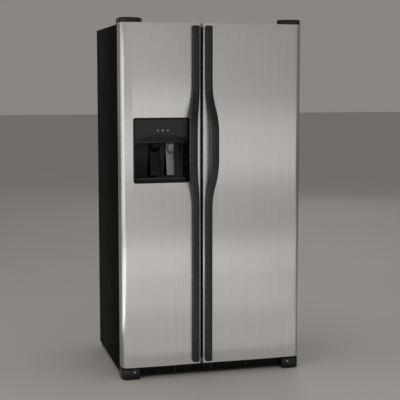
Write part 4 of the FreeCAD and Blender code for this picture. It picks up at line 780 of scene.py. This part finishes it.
def paddlePiece(name, node, scoopHalf, scoopDrop, bladeTop):
    s = paddleSizes
    low, high = paddleBox[node]
    middle = (low.x + high.x) / 2
    half = (high.x - low.x) / 2 - s["sideGap"]
    foot = pinZ - s["hang"]

    def leanAt(z):
        return s["lean"] * (pinZ - z) / s["hang"]
    levels = [(inset, foot + depth) for inset, depth in roundover(s["footRound"])]
    levels += [(0, z) for z in (foot + s["low"], foot + s["middle"], pinZ - bladeTop, pinZ)]
    rings = []
    for inset, z in levels:
        ring = []
        for i in range(s["round"]):
            x, y = squircle(2 * math.pi * i / s["round"], s["square"], half - inset,
                            max(s["thick"] / 2 - inset, s["thinnest"]))
            ring.append((middle + x, pinY - leanAt(z) + y + s["cup"] * (x / half) ** 2, z))
        rings.append(ring)
    blade = loft("blade", rings, looks[slotOf[node]], 50)
    top, bottom = pinZ - scoopSizes["topGap"], pinZ - scoopDrop
    front, back = pinY - scoopSizes["ahead"], pinY + scoopSizes["behind"]
    rimWide, dish = scoopSizes["rim"], scoopSizes["dish"]
    # (inset, y) from the back face round the rim into the dish
    stations = [(0.6 * mm, back), (0, back - 1.2 * mm), (0, front + mm), (0.7 * mm, front),
                (rimWide, front + 0.4 * mm), (rimWide + mm, front + 2 * mm),
                (rimWide + 3 * mm, front + dish + 2.5 * mm), (rimWide + 7 * mm, front + dish + 4 * mm)]
    shells = [[(x, y - leanAt(z), z) for x, z in scoopOutline(middle, scoopHalf, top, bottom, inset)]
              for inset, y in stations]
    scoop = loft("scoop", shells, looks[slotOf[node]], 50)
    pin = rod("pin", (low.x + s["pinGap"], pinY, pinZ), high.x - low.x - 2 * s["pinGap"], s["pin"], "x",
              s["pinRound"])
    piece = carve(blade, [scoop, pin], "UNION", 50)
    piece.name = name
    return fit(piece, node, slotOf[node], node)


paddlePiece("icePaddle", "ice_paddle", scoopHalf=25 * mm, scoopDrop=40 * mm, bladeTop=30 * mm)
paddlePiece("waterPaddle", "water_paddle", scoopHalf=19.5 * mm, scoopDrop=52 * mm, bladeTop=40 * mm)
print("paddles made")

# drip tray: a shallow dish under a row of rounded bars
traySizes = {"rim": 3 * mm, "frontRim": 6 * mm, "dish": 5 * mm, "edge": 1.2 * mm, "corner": 4 * mm,
             "innerCorner": 3 * mm, "bar": 4.4 * mm, "pitch": 6.4 * mm, "barDeep": 3 * mm,
             "barCorner": 0.8 * mm, "barSink": 0.4 * mm}


def dripTray():
    s = traySizes
    low, high = trayBox
    dish = block("dish", low, high, s["corner"], s["edge"], "z", looks[slotOf["drip_tray"]])
    inner = block("inner", (low.x + s["rim"], low.y + s["frontRim"], high.z - s["dish"]),
                  (high.x - s["rim"], high.y - s["rim"], high.z + mm), s["innerCorner"], 0, "z")
    carve(dish, [inner])
    length = high.y - low.y - s["rim"] - s["frontRim"]
    bar = block("bar", (0, 0, 0), (s["bar"], length, s["barDeep"]), s["barCorner"], 0, "y", trayGrey, 3)
    count = int((high.x - low.x - 2 * s["rim"]) / s["pitch"])
    start = (low.x + high.x) / 2 - ((count - 1) * s["pitch"] + s["bar"]) / 2
    bars = rowOf("bars", bar, count, (start, low.y + s["frontRim"], high.z - s["barDeep"] - s["barSink"]),
                 (s["pitch"], 0, 0))
    bpy.data.objects.remove(bar)
    return joined("dripTray", [dish, bars])


fit(dripTray(), "freezer_door", slotOf["drip_tray"], "drip_tray")
print("drip tray made")

# toe grille: a framed panel with sloping louvres
toe = {"frame": 4.5 * mm, "deep": 8 * mm, "corner": 3 * mm, "edge": 1.2 * mm, "bays": 4, "bayCorner": 2 * mm,
       "slat": 1.6 * mm, "pitch": 7 * mm, "tilt": 3.4 * mm, "slatInset": 1 * mm, "slatFoot": 1.5 * mm,
       "tab": 180 * mm, "tabHalf": 10 * mm, "tabFloor": 32 * mm, "tabCorner": 1.5 * mm}


def toeGrille():
    low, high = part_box("toe_grille")
    back = low.y + toe["deep"]
    finishOf = looks[slotOf["toe_grille"]]
    panel = block("toeGrille", low, (high.x, back, high.z), toe["corner"], toe["edge"], "y", finishOf)
    bay = (high.x - low.x) / toe["bays"]
    holes = [block("bay", (low.x + i * bay + toe["frame"], low.y - mm, low.z + toe["frame"]),
                   (low.x + (i + 1) * bay - toe["frame"], back + mm, high.z - toe["frame"]), toe["bayCorner"])
             for i in range(toe["bays"])]
    carve(panel, holes)
    deep, tilt, slat = toe["deep"] - 2 * toe["slatInset"], toe["tilt"], toe["slat"]
    profile = [(0, 0), (deep, tilt), (deep, tilt + slat), (0, slat)]
    length = high.x - low.x - 2 * toe["frame"]
    unit = loft("slat", [[(x, y, z) for y, z in profile] for x in (0, length)], finishOf)
    count = int((high.z - low.z - 2 * toe["frame"]) / toe["pitch"])
    start = (low.x + toe["frame"], low.y + toe["slatInset"], low.z + toe["frame"] + toe["slatFoot"])
    slats = rowOf("slats", unit, count, start, (0, 0, toe["pitch"]))
    bpy.data.objects.remove(unit)
    tabs = [block("tab", (hand * toe["tab"] - toe["tabHalf"], back - mm, low.z + toe["tabFloor"]),
                  (hand * toe["tab"] + toe["tabHalf"], high.y, high.z), toe["tabCorner"]) for hand in (-1, 1)]
    return joined("toeGrille", [panel, slats, *tabs])


fit(toeGrille(), "cabinet", slotOf["toe_grille"], "toe_grille")
print("toe grille made")

# cross-recessed pan head screws
screwSizes = {"head": 4.5 * mm, "rise": 2 * mm, "shank": 2 * mm, "long": 9 * mm, "slot": 0.55 * mm,
              "reach": 2.6 * mm, "deep": 1.1 * mm, "round": 28}
screwPlaces = {"capInset": 61 * mm, "capBack": 14 * mm, "cornerDrop": 14 * mm, "machineDrop": 12 * mm,
               "machineAcross": 120 * mm}


def screwUnit():
    s = screwSizes
    # (radius, depth) from the middle of the domed head down to the shank's end
    profile = [(0.3 * mm, 0), (s["head"] * 0.5, 0.15 * mm), (s["head"] * 0.82, 0.6 * mm),
               (s["head"], 1.3 * mm), (s["head"], s["rise"]), (s["shank"], s["rise"]),
               (s["shank"], s["long"])]
    rings = [[(a, y, b) for a, b in circle(0, 0, r, s["round"])] for r, y in profile]
    screw = loft("screw", rings, looks["steel"], 40)
    cross = [block("cross", (-a, -mm, -b), (a, s["deep"], b)) for a, b in
             ((s["slot"], s["reach"]), (s["reach"], s["slot"]))]
    return carve(screw, cross)


def coverScrews():
    s = screwPlaces
    low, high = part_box("cover_screws")
    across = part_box("hinge_covers")[1].x - s["capInset"]
    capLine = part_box("cabinet_shell")[0].y + s["capBack"]
    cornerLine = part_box("corner_covers")[1].z - s["cornerDrop"]
    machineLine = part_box("machine_cover")[1].z - s["machineDrop"]
    wide = high.x - screwSizes["head"]
    unit = screwUnit()
    # a pair at each place: half their spacing, depth line, height and turn
    pairs = [(across, capLine, high.z, (-math.pi / 2, 0, 0)), (across, low.y, cornerLine, (0, 0, 0)),
             (wide, high.y, machineLine, (0, 0, math.pi)),
             (s["machineAcross"], high.y, machineLine, (0, 0, math.pi))]
    sets = [rowOf("screws", unit, 2, (-half, y, z), (2 * half, 0, 0), turn) for half, y, z, turn in pairs]
    bpy.data.objects.remove(unit)
    return joined("coverScrews", sets)


fit(coverScrews(), "cabinet", "steel", "cover_screws")
print("screws made")

# edge rounding of the pressed, moulded and folded parts, in millimetres
easing = {
    "cabinet_shell": 0.45, "rear_panel": 0.3, "machine_cover": 0.3, "base_frame": 0.5, "hinge_brackets": 0.8,
    "hinge_covers": 1.0, "corner_covers": 1.2, "freezer_liner": 1.3, "fridge_liner": 1.3, "shelf_rails": 2.5,
    "freezer_door_liner": 1.3, "fridge_door_liner": 1.3, "freezer_door_gasket": 2.6,
    "fridge_door_gasket": 2.6, "freezer_door_bins": 0.9, "fridge_door_bins": 0.9, "dairy_door": 0.9,
    "freezer_basket": 1.2,
    "crisper_drawer": 1.2, "deli_drawer": 1.2, "ice_bin": 1.2, "ice_maker": 1.5, "shelf_frames": 1.2,
    "shelf_glass": 0.6, "control_box": 2.5, "freezer_knob": 0.8, "fridge_knob": 0.8, "interior_lamps": 2.5,
    "chute_flap": 0.4, "compressor": 1.5, "water_inlet_valve": 1.0, "power_cord_gland": 0.8,
    "left_leveling_leg": 0.5, "right_leveling_leg": 0.5, "front_left_roller": 0.6, "front_right_roller": 0.6,
    "rear_left_roller": 0.6, "rear_right_roller": 0.6, "condenser_fan": 0.3,
}
for node, width in easing.items():
    eased(node, width)
print("edges eased on", len(easing), "parts")

studio = {"floor": "#c9c6c2", "sky": "#8a8683", "reach": 40, "cameraPlace": (-1.286, -4.936, 1.451),
          "turn": -14.79, "down": 6.12, "lens": 88.6, "rise": -0.03}


def floorFinish():
    # smooth painted studio floor
    material, tree, shader = finish("paintedStudioFloor", studio["floor"], 0.55)
    cloud = pattern(tree, (900, 900, 900), 3)
    drive(tree, shader, "Roughness", cloud.outputs["Fac"], 0.5, 0.6)
    return material


reach = studio["reach"]
corners = [(-reach, -reach, 0), (reach, -reach, 0), (reach, reach, 0), (-reach, reach, 0)]
ground = mould("studioFloor", corners, [(0, 1, 2, 3)], floorFinish())

world = bpy.data.worlds.new("studioAir")
world.use_nodes = True
world.node_tree.nodes["Background"].inputs["Color"].default_value = linear(studio["sky"])
world.node_tree.nodes["Background"].inputs["Strength"].default_value = 1.0
bpy.context.scene.world = world


def softbox(name, place, aim, wide, high, glow):
    # glow is the brightness of the box's own face
    lamp = bpy.data.lights.new(name, "AREA")
    lamp.shape = "RECTANGLE"
    lamp.size, lamp.size_y = wide, high
    lamp.energy = glow * math.pi * wide * high
    stand = bpy.data.objects.new(name, lamp)
    stand.location = place
    stand.rotation_euler = (Vector(aim) - Vector(place)).to_track_quat("-Z", "Y").to_euler()
    stand.visible_camera = False
    bpy.context.scene.collection.objects.link(stand)


# (name, place, aim, width, height, glow)
# dim screens stand far ahead, cards lie just over the floor, and two pairs light the left side
lamps = [
    ("screenTop", (0.5, -9.5, 3.5), (0.5, 0, 3.5), 13.0, 3.2, 0.3),
    ("screenMiddle", (0.5, -9.5, 1.4), (0.5, 0, 1.4), 13.0, 1.0, 0.66),
    ("screenLow", (0.5, -9.5, 0.5), (0.5, 0, 0.5), 13.0, 0.8, 0.84),
    ("screenLeft", (0.2, -9.4, 2.6), (0.2, 0, 2.6), 4.4, 4.0, 0.2),
    ("cardFar", (0.5, -6.3, 0.02), (0.5, -6.3, 5), 12.0, 5.2, 0.25),
    ("cardMiddle", (0.3, -2.6, 0.02), (0.3, -2.6, 5), 7.0, 1.5, 0.55),
    ("cardNear", (0.2, -1.45, 0.02), (0.2, -1.45, 5), 5.0, 0.7, 0.38),
    ("cardFoot", (0.1, -0.72, 0.02), (0.1, -0.72, 5), 3.4, 0.76, 0.24),
    ("cardLeft", (-0.1, -4.0, 0.025), (-0.1, -4.0, 5), 2.0, 7.0, 0.16),
    ("edgeScreen", (-3.4, -3.2, 1.3), (-0.45, -0.3, 1.2), 2.4, 2.6, 1.4),
    ("edgeCard", (-1.9, -1.6, 0.03), (-1.9, -1.6, 5), 1.8, 2.2, 1.2),
    ("rollScreen", (-4.3, -0.9, 1.3), (-0.45, -0.3, 1.2), 2.6, 2.8, 0.9),
    ("rollCard", (-2.2, -0.5, 0.03), (-2.2, -0.5, 5), 2.4, 1.0, 0.9),
    ("overhead", (0.0, -1.5, 5.2), (0.0, -1.5, 0), 9.0, 7.0, 0.42),
    ("rearScreen", (3.0, 6.5, 3.0), (0, 0.4, 0.9), 3.0, 3.0, 0.7),
]
for lamp in lamps:
    softbox(*lamp)

lens = bpy.data.cameras.new("view")
lens.sensor_width = 36
lens.lens = studio["lens"]
lens.shift_y = studio["rise"]
camera = bpy.data.objects.new("view", lens)
camera.location = studio["cameraPlace"]
camera.rotation_euler = (math.radians(90 - studio["down"]), 0, math.radians(studio["turn"]))
bpy.context.scene.collection.objects.link(camera)
bpy.context.scene.camera = camera
bpy.context.scene.view_settings.view_transform = "Standard"
print("studio set")

for name, body in ownerOf.items():
    for index in range(len(nodes[name].data.materials)):
        nodes[name].data.materials[index] = looks[slotOf[name]]
